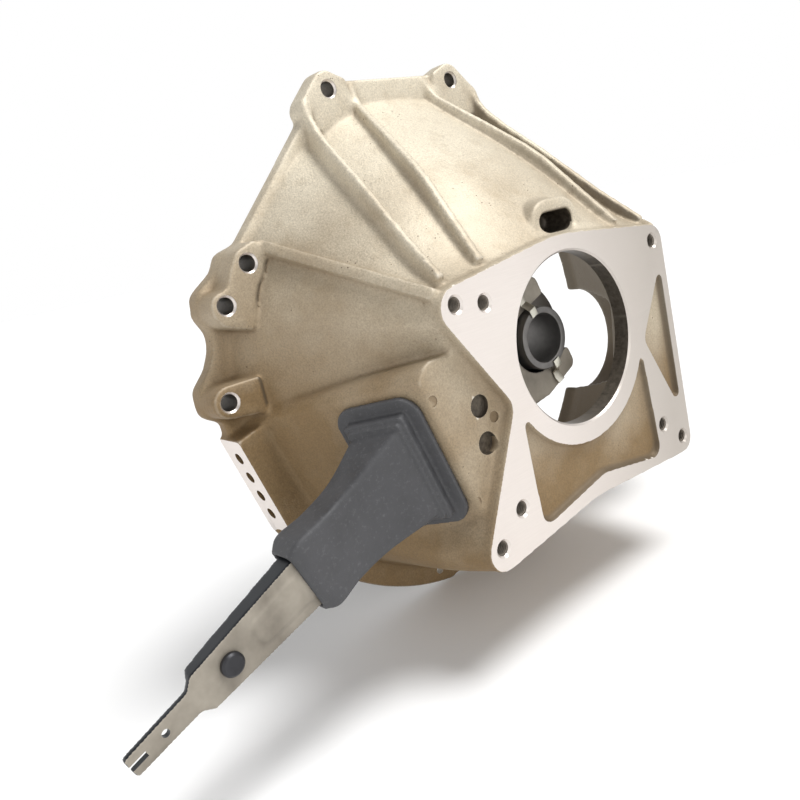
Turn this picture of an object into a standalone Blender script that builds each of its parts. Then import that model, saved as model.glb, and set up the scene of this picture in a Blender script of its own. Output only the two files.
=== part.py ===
"""Clutch bellhousing with its release fork, fork boot and release bearing.

Frame: origin on the crankshaft axis at the engine face, +X towards the gearbox, +Z up, +Y to the right
when the housing is seen from the gearbox end. Every size below is in millimetres.
"""

import math

import bmesh
import bpy
import numpy as np
from mathutils import Matrix, Vector

MM = 0.001
GAP = 0.3                       # clearance between pieces that touch

# Driving dimensions of the housing
DEPTH = 158.75                  # engine face to gearbox face
BORE_R = 61.6                   # pilot bore for the gearbox's front bearing retainer
MOUTH_R = 185.0                 # open end towards the flywheel
RIM_R = 210.0                   # thin lower rim
RIM_T = 6.4
FLANGE_T = 12.7
PLATE_T = 14.0                  # gearbox face plate
WALL = 7.0
ROUND_STEPS = 72                # facets round the cone

# Clutch fork line: it leaves the crankshaft axis downwards to the left
FORK_DROP = math.radians(20.4)
FORK_X = 121.0                  # rear face of the fork's web
SHEET = 3.0                     # fork sheet thickness
PIVOT_A = 107.0                 # crankshaft axis to fork pivot, along the fork
PIVOT_NOSE_R = 2.0              # rounded edge of the pivot bracket
PIVOT_X = FORK_X + GAP + PIVOT_NOSE_R
CUP_A = 305.0                   # seat of the clutch linkage's pushrod
RIVET_A = 50.0
BOLT_A = 97.6                   # crankshaft axis to the two bracket bolts, along the fork
BOLT_W = 13.1                   # each bolt's distance from the fork line
POCKET_X = 148.75               # outer face of the fork pocket's rear wall
BOLT_END_X = POCKET_X - 4.9     # the bracket bolts stop short of the recesses outside
POCKET_RECESSES = [(-95.9, -20.3), (-94.4, -46.5)]      # round recesses in that face, in (Y, Z)
POCKET_RECESS_R = 7.7

# Release bearing
SLEEVE_R = 18.3                 # bore that slides on the gearbox's retainer sleeve
HUB_R = 23.5
BALLS = 12
BALL_R = 4.0
BALL_PITCH_R = 31.0
BALL_X = 88.0
THRUST_X = 76.0                 # face that presses on the clutch
HUB_FLANGE_X = 104.8            # rear side of the hub's flange, where the fork pushes
HUB_END_X = 127.7

AXIS_X = Vector((1, 0, 0))
FORK_OUT = Vector((0, -math.cos(FORK_DROP), -math.sin(FORK_DROP)))
FORK_SIDE = Vector((0, math.sin(FORK_DROP), -math.cos(FORK_DROP)))      # FORK_OUT x FORK_SIDE = +X

# Fork window: a plane on the pocket's side wall, with its own outward, upward and rearward directions
WINDOW_CENTRE = Vector((113.75, -139.0, -47.5))
WINDOW_OUT = Vector((0.45, -1.0, -0.30)).normalized()
WINDOW_UP = WINDOW_OUT.cross(AXIS_X).normalized()
WINDOW_REAR = WINDOW_UP.cross(WINDOW_OUT).normalized()
WINDOW_W = 45.0
WINDOW_H = 80.0


# ---------------------------------------------------------------- outlines (2D points, no Blender)

def arc(centre, radius, start, end, steps):
    """Points on an arc, angles in degrees."""
    angles = np.radians(np.linspace(start, end, steps + 1))
    return [(centre[0] + radius * math.cos(a), centre[1] + radius * math.sin(a)) for a in angles]


def circle(centre, radius, steps=32):
    return arc(centre, radius, 0, 360, steps)[:-1]


def rounded(corners, steps=6):
    """A closed polygon whose corners (u, v, radius) are rounded off."""
    points = []
    for index, (u, v, radius) in enumerate(corners):
        corner = Vector((u, v))
        before = (Vector(corners[index - 1][:2]) - corner).normalized()
        after = (Vector(corners[(index + 1) % len(corners)][:2]) - corner).normalized()
        half = before.angle(after) / 2
        if radius <= 0 or half > math.radians(89):
            points.append((u, v))
            continue
        centre = corner + (before + after).normalized() * (radius / math.sin(half))
        first = corner + before * (radius / math.tan(half))
        last = corner + after * (radius / math.tan(half))
        a0 = math.atan2(first.y - centre.y, first.x - centre.x)
        turn = math.atan2(last.y - centre.y, last.x - centre.x) - a0
        turn = (turn + math.pi) % (2 * math.pi) - math.pi
        for step in range(steps + 1):
            a = a0 + turn * step / steps
            points.append((centre.x + radius * math.cos(a), centre.y + radius * math.sin(a)))
    return points


def rounded_at(centre_u, centre_v, half_u, half_v, radius, steps=4):
    """A rectangle with rounded corners."""
    return rounded([(centre_u + u * half_u, centre_v + v * half_v, radius)
                    for u, v in ((-1, -1), (1, -1), (1, 1), (-1, 1))], steps)


def hull(points):
    """Convex outline round 2D points, counter-clockwise."""
    points = sorted(set((round(u, 6), round(v, 6)) for u, v in points))
    chains = []
    for ordered in (points, points[::-1]):
        chain = []
        for p in ordered:
            while len(chain) > 1:
                (ax, ay), (bx, by) = chain[-2:]
                if (bx - ax) * (p[1] - ay) - (by - ay) * (p[0] - ax) > 1e-9:
                    break
                chain.pop()
            chain.append(p)
        chains.append(chain[:-1])
    return chains[0] + chains[1]


def mirrored(points):
    return [(-u, v) for u, v in points][::-1]


def radius_at(outline, angles):
    """Distance from the origin to a star-shaped outline in each direction (radians)."""
    dense = []
    for (u0, v0), (u1, v1) in zip(outline, outline[1:] + outline[:1]):
        count = max(2, int(math.hypot(u1 - u0, v1 - v0)))
        dense += [(u0 + (u1 - u0) * k / count, v0 + (v1 - v0) * k / count) for k in range(count)]
    dense = np.array(dense)
    around = np.arctan2(dense[:, 1], dense[:, 0])
    order = np.argsort(around)
    return np.interp(angles, around[order], np.hypot(*dense[order].T), period=2 * math.pi)


# Gearbox face: outline and recesses, in (Y, Z)
PLATE = rounded([
    (-131.8, 58.3, 15), (-75.2, -26.1, 12), (-134.1, -133.6, 15), (-8, -118.6, 150),
    (121, -128.5, 13), (121, 61, 14), (-3, 75.5, 180),
])
SIDE_RECESS = rounded([(112.3, 28.7, 3), (77.8, -22.8, 9), (106, -78.5, 2), (112.3, -78.5, 2)])
LOW_RECESS = rounded([(-68, -30, 3), (-67.3, -116.5, 8), (4, -103.8, 40), (75.6, -117.5, 8), (70.8, -30, 3)])
RECESS_DEPTH = 5.0
GEARBOX_HOLES = [(-107.3, 49.4), (107.3, 49.4), (-108.8, -113.4), (108.8, -113.4),
                 (-82.8, 44.9), (-85.2, -95.2), (85.2, -95.2)]
TAPPED_R = 5.0
COUNTERSINK_R = 6.4

# Engine flange: bolt bosses, in (Y, Z), with the height of their rear faces
TOP_BOLT = (62.8, 210.0)
SIDE_BOLTS = [(171.0, 99.0), (194.0, 75.0), (209.0, 13.0)]
ENGINE_HOLE_R = 5.8
TOP_BOSS_X = 18.0
SIDE_BOSS_X = 34.75
STARTER_CENTRE = (186.0, -50.0)
STARTER_R = 51.0
STARTER_X = 74.0
STARTER_HOLES = [(238, 14), (176, -124)]

# Cone: (direction in degrees, radius at the engine flange, bulge on the way back) down the left half;
# the right half mirrors it
CONE = [(90, 199, 9), (107, 200, 10), (116, 195, 11), (135.8, 190, 10), (150, 192, 3), (165, 194, 3),
        (180, 195, 3), (197, 192, 3), (215, 190, 3), (270, 190, 3)]
CONE_END_R = 124.0              # the plate's two upper corners stand out beyond this


def cone_radii(angles, share):
    """Outer radius of the cone, share 0 at the flange and 1 at the gearbox plate."""
    left = np.where(np.cos(angles) > 0, math.pi - angles, angles) % (2 * math.pi)
    directions, radii, bulges = np.array(CONE, float).T
    base = np.interp(np.degrees(left), directions, radii)
    bulge = np.interp(np.degrees(left), directions, bulges)
    reach = radius_at(PLATE, angles)
    reach = np.where(np.sin(angles) > 0, np.minimum(reach, CONE_END_R), reach)
    return base + (reach - base) * share + bulge * math.sin(math.pi * share ** 1.5)


# ---------------------------------------------------------------- solids

def collection(name):
    made = bpy.data.collections.new(name)
    bpy.context.scene.collection.children.link(made)
    return made


def clear_scene():
    for obj in list(bpy.data.objects):
        bpy.data.objects.remove(obj, do_unlink=True)


def scaled(matrix):
    """The same placing with its position in millimetres turned into metres."""
    placed = matrix.copy()
    placed.translation = matrix.translation * MM
    return placed


def frame_matrix(origin, x_axis, y_axis):
    """Placing with given local X and Y directions; Z completes a right-handed set."""
    z_axis = x_axis.cross(y_axis)
    rows = Matrix((x_axis, y_axis, z_axis)).transposed().to_4x4()
    rows.translation = origin
    return rows


# Placings by what their local (x, y, z) stand for; a runs out along the fork line and w across it
ORIGIN = Vector((0, 0, 0))
ACROSS = frame_matrix(ORIGIN, Vector((0, 1, 0)), Vector((0, 0, 1)))     # (Y, Z, X)
FORK = frame_matrix(ORIGIN, FORK_OUT, FORK_SIDE)                        # (a, w, X)
FORK_PROFILE = frame_matrix(ORIGIN, FORK_OUT, AXIS_X)                   # (a, X, -w)
FORK_ACROSS = frame_matrix(ORIGIN, AXIS_X, FORK_OUT)                    # (X, a, w)
CLIP_PROFILE = frame_matrix(ORIGIN, FORK_SIDE, AXIS_X)                  # (w, X, a)
WINDOW = frame_matrix(WINDOW_CENTRE, WINDOW_REAR, WINDOW_UP)            # (rearward, upward, outward)


def link(mesh, name, where, matrix=None):
    obj = bpy.data.objects.new(name, mesh)
    where.objects.link(obj)
    if matrix is not None:
        obj.matrix_world = scaled(matrix)
    return obj


def from_bmesh(bm, name, where, matrix=None):
    bmesh.ops.recalc_face_normals(bm, faces=bm.faces)
    mesh = bpy.data.meshes.new(name)
    bm.to_mesh(mesh)
    bm.free()
    return link(mesh, name, where, matrix)


def slab(name, outline, low, high, matrix=ACROSS, where=None):
    """A flat outline with thickness, from local z = low to high: a filled 2D curve made into a mesh."""
    curve = bpy.data.curves.new(name, "CURVE")
    curve.dimensions = "2D"
    curve.fill_mode = "BOTH"
    curve.extrude = (high - low) / 2 * MM
    spline = curve.splines.new("POLY")
    spline.points.add(len(outline) - 1)
    for point, (u, v) in zip(spline.points, outline):
        point.co = (u * MM, v * MM, 0, 1)
    spline.use_cyclic_u = True
    guide = bpy.data.objects.new(name, curve)
    bpy.context.scene.collection.objects.link(guide)
    bpy.context.view_layer.update()
    mesh = bpy.data.meshes.new_from_object(guide.evaluated_get(bpy.context.evaluated_depsgraph_get()))
    bpy.data.objects.remove(guide, do_unlink=True)
    bm = bmesh.new()
    bm.from_mesh(mesh)
    bmesh.ops.remove_doubles(bm, verts=bm.verts, dist=1e-6)
    lift = Matrix.Translation((0, 0, (low + high) / 2))
    return from_bmesh(bm, name, where or CUTTERS, matrix @ lift)


def loft(name, rings, where=None, matrix=None):
    """A solid through rings of equally many 3D points, closed at both ends."""
    bm = bmesh.new()
    loops = [[bm.verts.new(Vector(p) * MM) for p in ring] for ring in rings]
    for lower, upper in zip(loops, loops[1:]):
        for k in range(len(lower)):
            after = (k + 1) % len(lower)
            bm.faces.new((lower[k], lower[after], upper[after], upper[k]))
    bm.faces.new(loops[0][::-1])
    bm.faces.new(loops[-1])
    bmesh.ops.triangulate(bm, faces=[f for f in bm.faces if len(f.verts) == 4])
    return from_bmesh(bm, name, where or CUTTERS, matrix)


def rod(name, centre, radius, low, high, matrix=ACROSS, where=None, steps=24, top_radius=None):
    """A cylinder or cone along local Z."""
    bm = bmesh.new()
    top = radius if top_radius is None else top_radius
    bmesh.ops.create_cone(bm, cap_ends=True, segments=steps, radius1=radius * MM, radius2=top * MM,
                          depth=(high - low) * MM)
    lift = Matrix.Translation((centre[0], centre[1], (low + high) / 2))
    return from_bmesh(bm, name, where or CUTTERS, matrix @ lift)


def turned(name, profile, where, matrix=ACROSS, steps=48):
    """A ring or shaft turned about local Z from a closed (radius, height) profile."""
    bm = bmesh.new()
    corners = [bm.verts.new((r * MM, 0, z * MM)) for r, z in profile]
    for first, second in zip(corners, corners[1:] + corners[:1]):
        bm.edges.new((first, second))
    bmesh.ops.spin(bm, geom=bm.verts[:] + bm.edges[:], cent=(0, 0, 0), axis=(0, 0, 1),
                   angle=2 * math.pi, steps=steps, use_merge=True)
    bmesh.ops.remove_doubles(bm, verts=bm.verts, dist=1e-6)
    bmesh.ops.delete(bm, geom=[edge for edge in bm.edges if not edge.link_faces], context="EDGES")
    return from_bmesh(bm, name, where, matrix)


def ribbon(points, thickness):
    """Outline of a strip of even thickness that follows 2D points."""
    sides = ([], [])
    for index, point in enumerate(points):
        before = Vector(points[max(index - 1, 0)])
        after = Vector(points[min(index + 1, len(points) - 1)])
        along = (after - before).normalized()
        normal = Vector((-along.y, along.x)) * (thickness / 2)
        sides[0].append(tuple(Vector(point) + normal))
        sides[1].append(tuple(Vector(point) - normal))
    return sides[0] + sides[1][::-1]


def boolean(target, tool, operation):
    """The housing takes the MANIFOLD solver: EXACT leaves open edges where its many solids meet."""
    modifier = target.modifiers.new(tool.name, "BOOLEAN")
    modifier.operation = operation
    modifier.solver = "MANIFOLD" if target.name == "bellhousing" else "EXACT"
    modifier.object = tool
    tool.hide_render = True
    tool.display_type = "WIRE"


def join(target, *tools):
    for tool in tools:
        boolean(target, tool, "UNION")


def cut(target, *tools):
    for tool in tools:
        boolean(target, tool, "DIFFERENCE")


def keep_inside(target, tool):
    boolean(target, tool, "INTERSECT")


# ---------------------------------------------------------------- the housing

def cone_ring(x, share, inset=0.0):
    angles = np.linspace(0, 2 * math.pi, ROUND_STEPS, endpoint=False)
    radii = cone_radii(angles, share) - inset
    if share == 0 and inset:
        radii = np.minimum(radii, MOUTH_R)
    return [(x, r * math.cos(a), r * math.sin(a)) for a, r in zip(angles, radii)]


def cone_share(x, start, end):
    return (x - start) / (end - start)


def overlap(index):
    """How far ahead of the engine face a piece starts: no two ends coincide before the face is cut."""
    return -2 - 0.37 * index


def housing_cone():
    """The main shell: its outside and the hollow for the clutch."""
    end = DEPTH - 6
    stations = [FLANGE_T + (end - FLANGE_T) * k / 4 for k in range(5)]
    rings = [cone_ring(overlap(0), 0)]
    rings += [cone_ring(x, cone_share(x, FLANGE_T, end)) for x in stations]
    outside = loft("cone_outside", rings, PARTS)
    back = DEPTH - PLATE_T + 1.5
    rings = [cone_ring(-30, 0, WALL + 2), cone_ring(FLANGE_T, 0, WALL + 2)]
    for x in stations[1:-1] + [back]:
        rings.append(cone_ring(x, cone_share(x, FLANGE_T, end), WALL + 3))
    return outside, loft("clutch_space", rings)


def pocket_ring(x, inset):
    """Section of the fork pocket: its left side lies in the window's plane."""
    share = (x - 20) / (POCKET_X - 20)

    def wall_y(z):
        step = Vector((x, 0, z)) - WINDOW_CENTRE
        return WINDOW_CENTRE.y + (0.45 * step.x - 0.30 * step.z) + inset / 0.88

    top = 2 + 18 * share - inset
    low = -118 + 10 * share + inset
    shoulder = wall_y(top - 11)
    inner = -120 + 62 * share
    return [(x, inner, top), (x, shoulder + 22 - 10 * share, top), (x, shoulder + 6, top - 3),
            (x, shoulder, top - 11), (x, wall_y(-50), -50), (x, wall_y(low + 12), low + 12),
            (x, wall_y(low + 12) + 5, low), (x, inner, low + 6 * share - 6)]


def fork_pocket():
    outside = loft("pocket_outside", [pocket_ring(x, 0) for x in (16, 80, POCKET_X)])
    inside = loft("pocket_inside", [pocket_ring(x, WALL) for x in (24, 80, POCKET_X - WALL)])
    window = slab("window", rounded_at(0, 0, WINDOW_W / 2, WINDOW_H / 2, 7), -24, 12, WINDOW)
    return outside, inside, window


def bolt_face():
    """Raised face around the two upper side bolts, in (Y, Z) on the right."""
    return rounded([(155, 100, 2), (162, 114, 3), (178, 108, 9), (185, 97, 6), (190, 86, 5), (203, 83, 9),
                    (206, 72, 9), (199, 61, 8), (178, 54, 2), (169, 79, 20)])


def flange_ear():
    """Wavy edge that carries the side bolts, in (Y, Z) on the right."""
    return rounded([(150, 100, 2), (163, 113, 3), (179, 109, 10), (185, 98, 6), (204, 85, 10), (206, 70, 8),
                    (200, 58, 12), (201, 47, 14), (208, 34, 8), (220, 22, 9), (220, 4, 9), (207, -4, 6),
                    (185, -20, 2)])


def reflected(outline, sign):
    return outline if sign > 0 else mirrored(outline)


def engine_flange():
    """Upper flange with chords between its bosses, the thin lower rim and the raised side bosses."""
    top = [(-64, 216.5), (64, 216.5)]
    side = [(96, 182), (163, 113), (170, 108)] + arc((0, 0), 207, 28, -30, 8)
    shape = top + side + [(120, -60), (-120, -60)] + mirrored(side)
    pieces = [slab("flange_upper", shape, overlap(1), FLANGE_T)]
    pieces.append(slab("rim", arc((0, 0), RIM_R, 200, 340, 56), overlap(2), RIM_T))
    top_boss = hull(circle(TOP_BOLT, 14, 20) + [(89, 203), (91.5, 196), (84, 178), (45, 190), (44, 216.4)])
    low_bolt = hull(circle(SIDE_BOLTS[2], 11.5, 16) + [(184, 24), (184, -2)])
    for sign in (-1, 1):
        name = "left" if sign < 0 else "right"
        pieces.append(slab("flange_ear_" + name, reflected(flange_ear(), sign), overlap(4), FLANGE_T - 0.1))
        pieces.append(slab("top_boss_" + name, reflected(top_boss, sign), overlap(3), TOP_BOSS_X))
        pieces.append(slab("side_boss_" + name, reflected(bolt_face(), sign), overlap(5), SIDE_BOSS_X))
        pieces.append(slab("side_boss_low_" + name, reflected(low_bolt, sign), overlap(6), SIDE_BOSS_X))
    return pieces


PAD_ANGLE = math.radians(195.1)
PAD_DISTANCE = 205.6
PAD_HALF = 40.0
PAD = frame_matrix(ORIGIN, AXIS_X, Vector((0, math.sin(PAD_ANGLE), -math.cos(PAD_ANGLE))))


def box_outline(low_u, high_u, half_v):
    return [(low_u, -half_v), (high_u, -half_v), (high_u, half_v), (low_u, half_v)]


def side_pad():
    """Machined pad low on the left, with its tapped holes; local z points outwards."""
    block = slab("pad_block", box_outline(overlap(7), 30, PAD_HALF), PAD_DISTANCE - 26, PAD_DISTANCE, PAD)
    trim = slab("pad_trim", box_outline(-40, 31, PAD_HALF + 8), PAD_DISTANCE, PAD_DISTANCE + 12, PAD)
    holes = [rod(f"pad_hole_{k}", (15, along), 4.5, PAD_DISTANCE - 14, PAD_DISTANCE + 1, PAD, steps=20)
             for k, along in enumerate((-24, -8, 8, 24))]
    return block, trim, holes


def starter_pocket():
    """Bulge on the right for the starter motor's nose: a guess, as that side is hidden."""
    outside = rod("starter_outside", STARTER_CENTRE, STARTER_R + 7, overlap(8), STARTER_X, steps=40)
    dome = rod("starter_dome", STARTER_CENTRE, STARTER_R + 7.01, STARTER_X - 2, STARTER_X + 16, steps=40,
               top_radius=30)
    edge = circle(STARTER_CENTRE, STARTER_R + 12, 40)
    for spot in STARTER_HOLES:
        edge += circle(spot, 13, 12)
    lobe = slab("starter_lobe", hull(edge), overlap(9), FLANGE_T - 0.2)
    inside = rod("starter_inside", STARTER_CENTRE, STARTER_R, -30, STARTER_X - 3, steps=40)
    return [outside, dome, lobe], inside


PORT = (13.5, 82.0)
PORT_X = DEPTH - 12


def port_oval(half_width, half_height):
    reach = half_width - half_height
    return (arc((PORT[0] + reach, PORT[1]), half_height, -90, 90, 10)
            + arc((PORT[0] - reach, PORT[1]), half_height, 90, 270, 10))


def port_hood():
    """Oval port above the bore: the hood, its closed back inside the shell, and the pocket in it."""
    return (slab("port_hood", port_oval(26, 17), 88, PORT_X),
            slab("port_back", port_oval(23, 12), 116, 147),
            slab("port_hole", port_oval(18, 7.5), 121, PORT_X + 4))


def rib(name, start, end, outward, width, depth, crest):
    """A fin from start to end; crest holds (share of that line, height above it), depth is its sunk root."""
    start, end, outward = Vector(start), Vector(end), Vector(outward).normalized()
    along = end - start
    forward = along.normalized()
    outward = (outward - forward * outward.dot(forward)).normalized()
    line = [(along.length * share, lift) for share, lift in crest]
    outline = line + [(u, v - depth) for u, v in line[::-1]]
    return slab(name, outline, -width / 2, width / 2, frame_matrix(start, forward, outward))


def housing_ribs():
    up = (0, 0, 1)
    inner = [(0, 0), (0.05, -4.5), (0.09, -6), (0.15, -4.5), (0.34, 1), (0.53, 5.9), (0.63, 6.8), (0.74, 5),
             (1, 1.5)]
    outer = [(0, 0), (0.035, 2), (0.09, -4.5), (0.15, -7), (0.26, -7), (0.46, -4.5), (0.78, -3), (1, 0.5)]
    side_crest = [(0, 0), (0.3, 0.5), (0.6, 2), (1, 5)]
    ribs = []
    for sign, side in ((-1, "left"), (1, "right")):
        ribs.append(rib("rib_inner_" + side, (FLANGE_T, sign * 39, 215), (153, sign * 74, 71),
                        up, 7, 24, inner))
        ribs.append(rib("rib_outer_" + side, (FLANGE_T, sign * 86, 206), (153, sign * 108.5, 68),
                        up, 6.5, 28, outer))
        ribs.append(rib("rib_side_" + side, (30, sign * 161, 111), (153, sign * 116, 57),
                        (0, sign * 0.82, 0.57), 8.5, 20, side_crest))
    return ribs


def gearbox_plate():
    plate = slab("gearbox_plate", PLATE, DEPTH - PLATE_T, DEPTH)
    bosses = [rod(f"gearbox_boss_{k}", spot, 11, DEPTH - 26, DEPTH - 4, steps=20)
              for k, spot in enumerate(GEARBOX_HOLES)]
    return plate, bosses


def gearbox_cuts():
    cuts = [rod("bore", (0, 0), BORE_R, DEPTH - 40, DEPTH + 1, steps=64),
            rod("bore_chamfer", (0, 0), BORE_R - 0.5, DEPTH - 1.5, DEPTH + 0.5, steps=64,
                top_radius=BORE_R + 1.5)]
    for k, spot in enumerate(GEARBOX_HOLES):
        cuts.append(rod(f"gearbox_hole_{k}", spot, TAPPED_R, DEPTH - 22, DEPTH + 1, steps=20))
        cuts.append(rod(f"gearbox_sink_{k}", spot, TAPPED_R - 0.2, DEPTH - 1.6, DEPTH + 0.4, steps=20,
                        top_radius=COUNTERSINK_R + 0.4))
    floor = DEPTH - RECESS_DEPTH
    cuts.append(slab("side_recess", SIDE_RECESS, floor, DEPTH + 1))
    low = slab("low_recess", LOW_RECESS, floor, DEPTH + 1)
    cut(low, rod("low_recess_ring", (0, 0), 77, floor - 1, DEPTH + 2, steps=64))
    cuts.append(low)
    return cuts


def engine_cuts():
    cuts = []
    for sign in (-1, 1):
        for index, (y, z) in enumerate([TOP_BOLT] + SIDE_BOLTS):
            side = "left" if sign < 0 else "right"
            cuts.append(rod(f"engine_hole_{side}_{index}", (sign * y, z), ENGINE_HOLE_R, -30, 40, steps=16))
    for index, angle in enumerate((-44.6, -75, -105, -135.4)):
        spot = (199 * math.cos(math.radians(angle)), 199 * math.sin(math.radians(angle)))
        cuts.append(rod(f"rim_hole_{index}", spot, 3.4, -30, 10, steps=16))
    for index, spot in enumerate(STARTER_HOLES):
        cuts.append(rod(f"starter_hole_{index}", spot, 5.3, -30, 20, steps=20))
    cuts.append(slab("drain_notch", [(-42, -220), (42, -220), (36, -204.5), (-36, -204.5)], -30, RIM_T + 1))
    return cuts


def bracket_spots():
    """Centres of the two holes in the pocket's rear wall, in (Y, Z)."""
    for sign in (-1, 1):
        spot = FORK_OUT * BOLT_A + FORK_SIDE * (sign * BOLT_W)
        yield spot.y, spot.z


def bellhousing():
    body, clutch_space = housing_cone()
    body.name = "bellhousing"
    pocket_outside, pocket_inside, window = fork_pocket()
    starter_pieces, starter_inside = starter_pocket()
    pad_block, pad_trim, pad_holes = side_pad()
    hood, port_back, port_hole = port_hood()
    plate, bosses = gearbox_plate()
    join(body, pocket_outside, *engine_flange(), pad_block, *starter_pieces, hood, *housing_ribs())
    cut(body, clutch_space, pocket_inside, starter_inside)
    join(body, plate, port_back, *bosses)
    cut(body, window, port_hole, pad_trim, *pad_holes, *gearbox_cuts(), *engine_cuts())
    cut(body, slab("engine_face", circle((0, 0), 320, 24), -40, 0))
    for index, spot in enumerate(bracket_spots()):
        cut(body, rod(f"bracket_hole_{index}", spot, 4.3, POCKET_X - 20, BOLT_END_X + 0.4, steps=20))
    for index, spot in enumerate(POCKET_RECESSES):
        cut(body, rod(f"pocket_recess_{index}", spot, POCKET_RECESS_R, BOLT_END_X + 1.7, POCKET_X + 1,
                      steps=28))
    flatten = body.modifiers.new("merge_flat_faces", "DECIMATE")
    flatten.decimate_type = "DISSOLVE"
    flatten.angle_limit = math.radians(0.4)
    return body


# ---------------------------------------------------------------- the fork and its pivot

def fork_outline():
    """Web outline in (a, w): two tines, a body that narrows outwards and a thin tongue."""
    side = [(-24, 41, 6), (14, 43, 12), (40, 37, 20), (66, 30, 30), (107, 29, 30), (150, 26.5, 60),
            (200, 21, 60), (250, 17.5, 60), (300, 14.5, 60), (325, 13, 3), (331, 7.5, 3), (372, 6.5, 2)]
    back = [(a, -w, r) for a, w, r in side[::-1]]
    root = 27.0
    half = HUB_R + 0.9
    mouth = [(-24, -half, 3), (root, -half, half - 0.01), (root, half, half - 0.01), (-24, half, 3)]
    return rounded(side + back + mouth, 5)


def clutch_fork():
    fork = slab("clutch_fork", fork_outline(), 100, FORK_X, FORK, PARTS)
    front = [(-26, 110), (-7, 109.2), (-3.4, 106.2), (-1.5, 105.4), (1.5, 105.4), (3.4, 106.2), (7, 109.2),
             (44, 108.4), (64, 104.5), (107, 103), (190, 103), (250, 106), (310, 109), (323, 110.5),
             (327, 116.8), (376, 116.8)]
    rear = [(376, FORK_X + 2), (-26, FORK_X + 2)]
    keep_inside(fork, slab("fork_depth", front + rear, -60, 60, FORK_PROFILE))
    hollow = [(44, 28), (66, 26.8), (107, 25.8), (150, 23.4), (200, 17.9), (250, 14.4), (300, 11.4),
              (319, 10.4)]
    other_side = [(a, -w) for a, w in hollow[::-1]]
    cut(fork, slab("fork_hollow", hollow + other_side, 90, FORK_X - SHEET, FORK))
    for sign in (-1, 1):
        tine = [(-18, 28.2), (8, 28.2), (24, 32.5), (30, 35), (12, 39.6), (-18, 37.6)]
        cut(fork, slab(f"tine_hollow_{sign}", [(a, sign * w) for a, w in tine], 90, FORK_X - SHEET, FORK))
        cut(fork, rod(f"spring_rivet_hole_{sign}", (RIVET_A, sign * 8.3), 1.8, 110, 130, FORK, steps=12))
    cut(fork, rod("cup_hole", (CUP_A, 0), 4.3, 110, 130, FORK, steps=20),
        rod("tip_hole", (350, 0), 2.3, 110, 130, FORK, steps=14),
        slab("tip_slot", [(362, -1.7), (380, -1.7), (380, 1.7), (362, 1.7)], 110, 130, FORK),
        rod("flange_hole", (111, 108), 3, -40, -20, FORK_ACROSS, steps=16))
    return fork


def fork_spring():
    """Flat clip riveted to the web; its hooked end bears on the pivot bracket."""
    line = [(RIVET_A - 9, 121.9), (60, 121.9), (84, 121.9), (90, 123.0), (99, 127.4), (102.2, 128.6),
            (102.4, 131.5)]
    spring = slab("fork_spring", ribbon(line, 1.2), -5, 5, FORK_PROFILE, PARTS)
    pad = slab("fork_spring_pad", rounded_at(RIVET_A + 1, 0, 12, 12.5, 4),
               FORK_X + GAP, FORK_X + GAP + 1.2, FORK)
    join(spring, pad)
    for sign in (-1, 1):
        cut(spring, rod(f"spring_hole_{sign}", (RIVET_A, sign * 8.3), 1.8, 118, 126, FORK, steps=12))
    return spring


def spring_rivet(name, sign):
    front = FORK_X - SHEET - GAP
    rear = FORK_X + GAP + 1.2 + GAP
    profile = [(0, front - 1.5), (2.2, front - 1.4), (3.1, front - 0.5), (3.1, front), (1.5, front),
               (1.5, rear), (3.1, rear), (3.1, rear + 0.5), (2.2, rear + 1.4), (0, rear + 1.5)]
    return turned(name, profile, PARTS, FORK @ Matrix.Translation((RIVET_A, sign * 8.3, 0)), 16)


def pushrod_cup():
    """Seat for the clutch linkage's pushrod; its shank is headed over on the rear of the web."""
    front = FORK_X - SHEET - GAP
    rear = FORK_X + GAP
    profile = [(0, front - 4.2), (2.6, front - 5.0), (4.4, front - 7.0), (5.0, front - 8.2),
               (7.2, front - 8.2), (8.0, front - 7.4), (8.0, front), (4.0, front), (4.0, rear), (7.0, rear),
               (7.0, rear + 2.2), (5.4, rear + 3.8), (0, rear + 4.4)]
    return turned("pushrod_cup", profile, PARTS, FORK @ Matrix.Translation((CUP_A, 0, 0)), 28)


WALL_INSIDE_X = POCKET_X - WALL
BRACKET_T = 4.0


def fork_pivot_bracket():
    """Pressed steel angle: a foot on the pocket's rear wall and an upright that the fork rocks on."""
    high = WALL_INSIDE_X - GAP
    foot = slab("fork_pivot_bracket", rounded([(88, -21, 4), (109, -21, 4), (109, 21, 4), (88, 21, 4)]),
                high - BRACKET_T, high, FORK, PARTS)
    nose = arc((PIVOT_A, PIVOT_X), PIVOT_NOSE_R, 180, 360, 8)
    upright = [(PIVOT_A - PIVOT_NOSE_R, high - 1)] + nose + [(PIVOT_A + PIVOT_NOSE_R, high - 1)]
    join(foot, slab("bracket_upright", upright, -17, 17, FORK_PROFILE))
    for sign in (-1, 1):
        cut(foot, rod(f"bracket_bolt_hole_{sign}", (BOLT_A, sign * BOLT_W), 4.4, 130, 145, FORK, steps=20))
    return foot


def bracket_fastener(name, sign):
    """Hexagon bolt and washer that hold the bracket from inside the housing."""
    place = FORK @ Matrix.Translation((BOLT_A, sign * BOLT_W, 0))
    foot = WALL_INSIDE_X - GAP - BRACKET_T
    section = [(4.2, foot - 1.9), (7.1, foot - 1.9), (7.1, foot - GAP), (4.2, foot - GAP)]
    washer = turned("bracket_washer_" + name, section, PARTS, place, 24)
    head = foot - 1.9 - GAP
    bolt = rod("bracket_bolt_" + name, (0, 0), 6.9, head - 5.2, head, place, PARTS, steps=6)
    join(bolt, rod("bolt_shank_" + name, (0, 0), 3.9, head - 1, BOLT_END_X, place, steps=20))
    return bolt, washer


# ---------------------------------------------------------------- the release bearing

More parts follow.
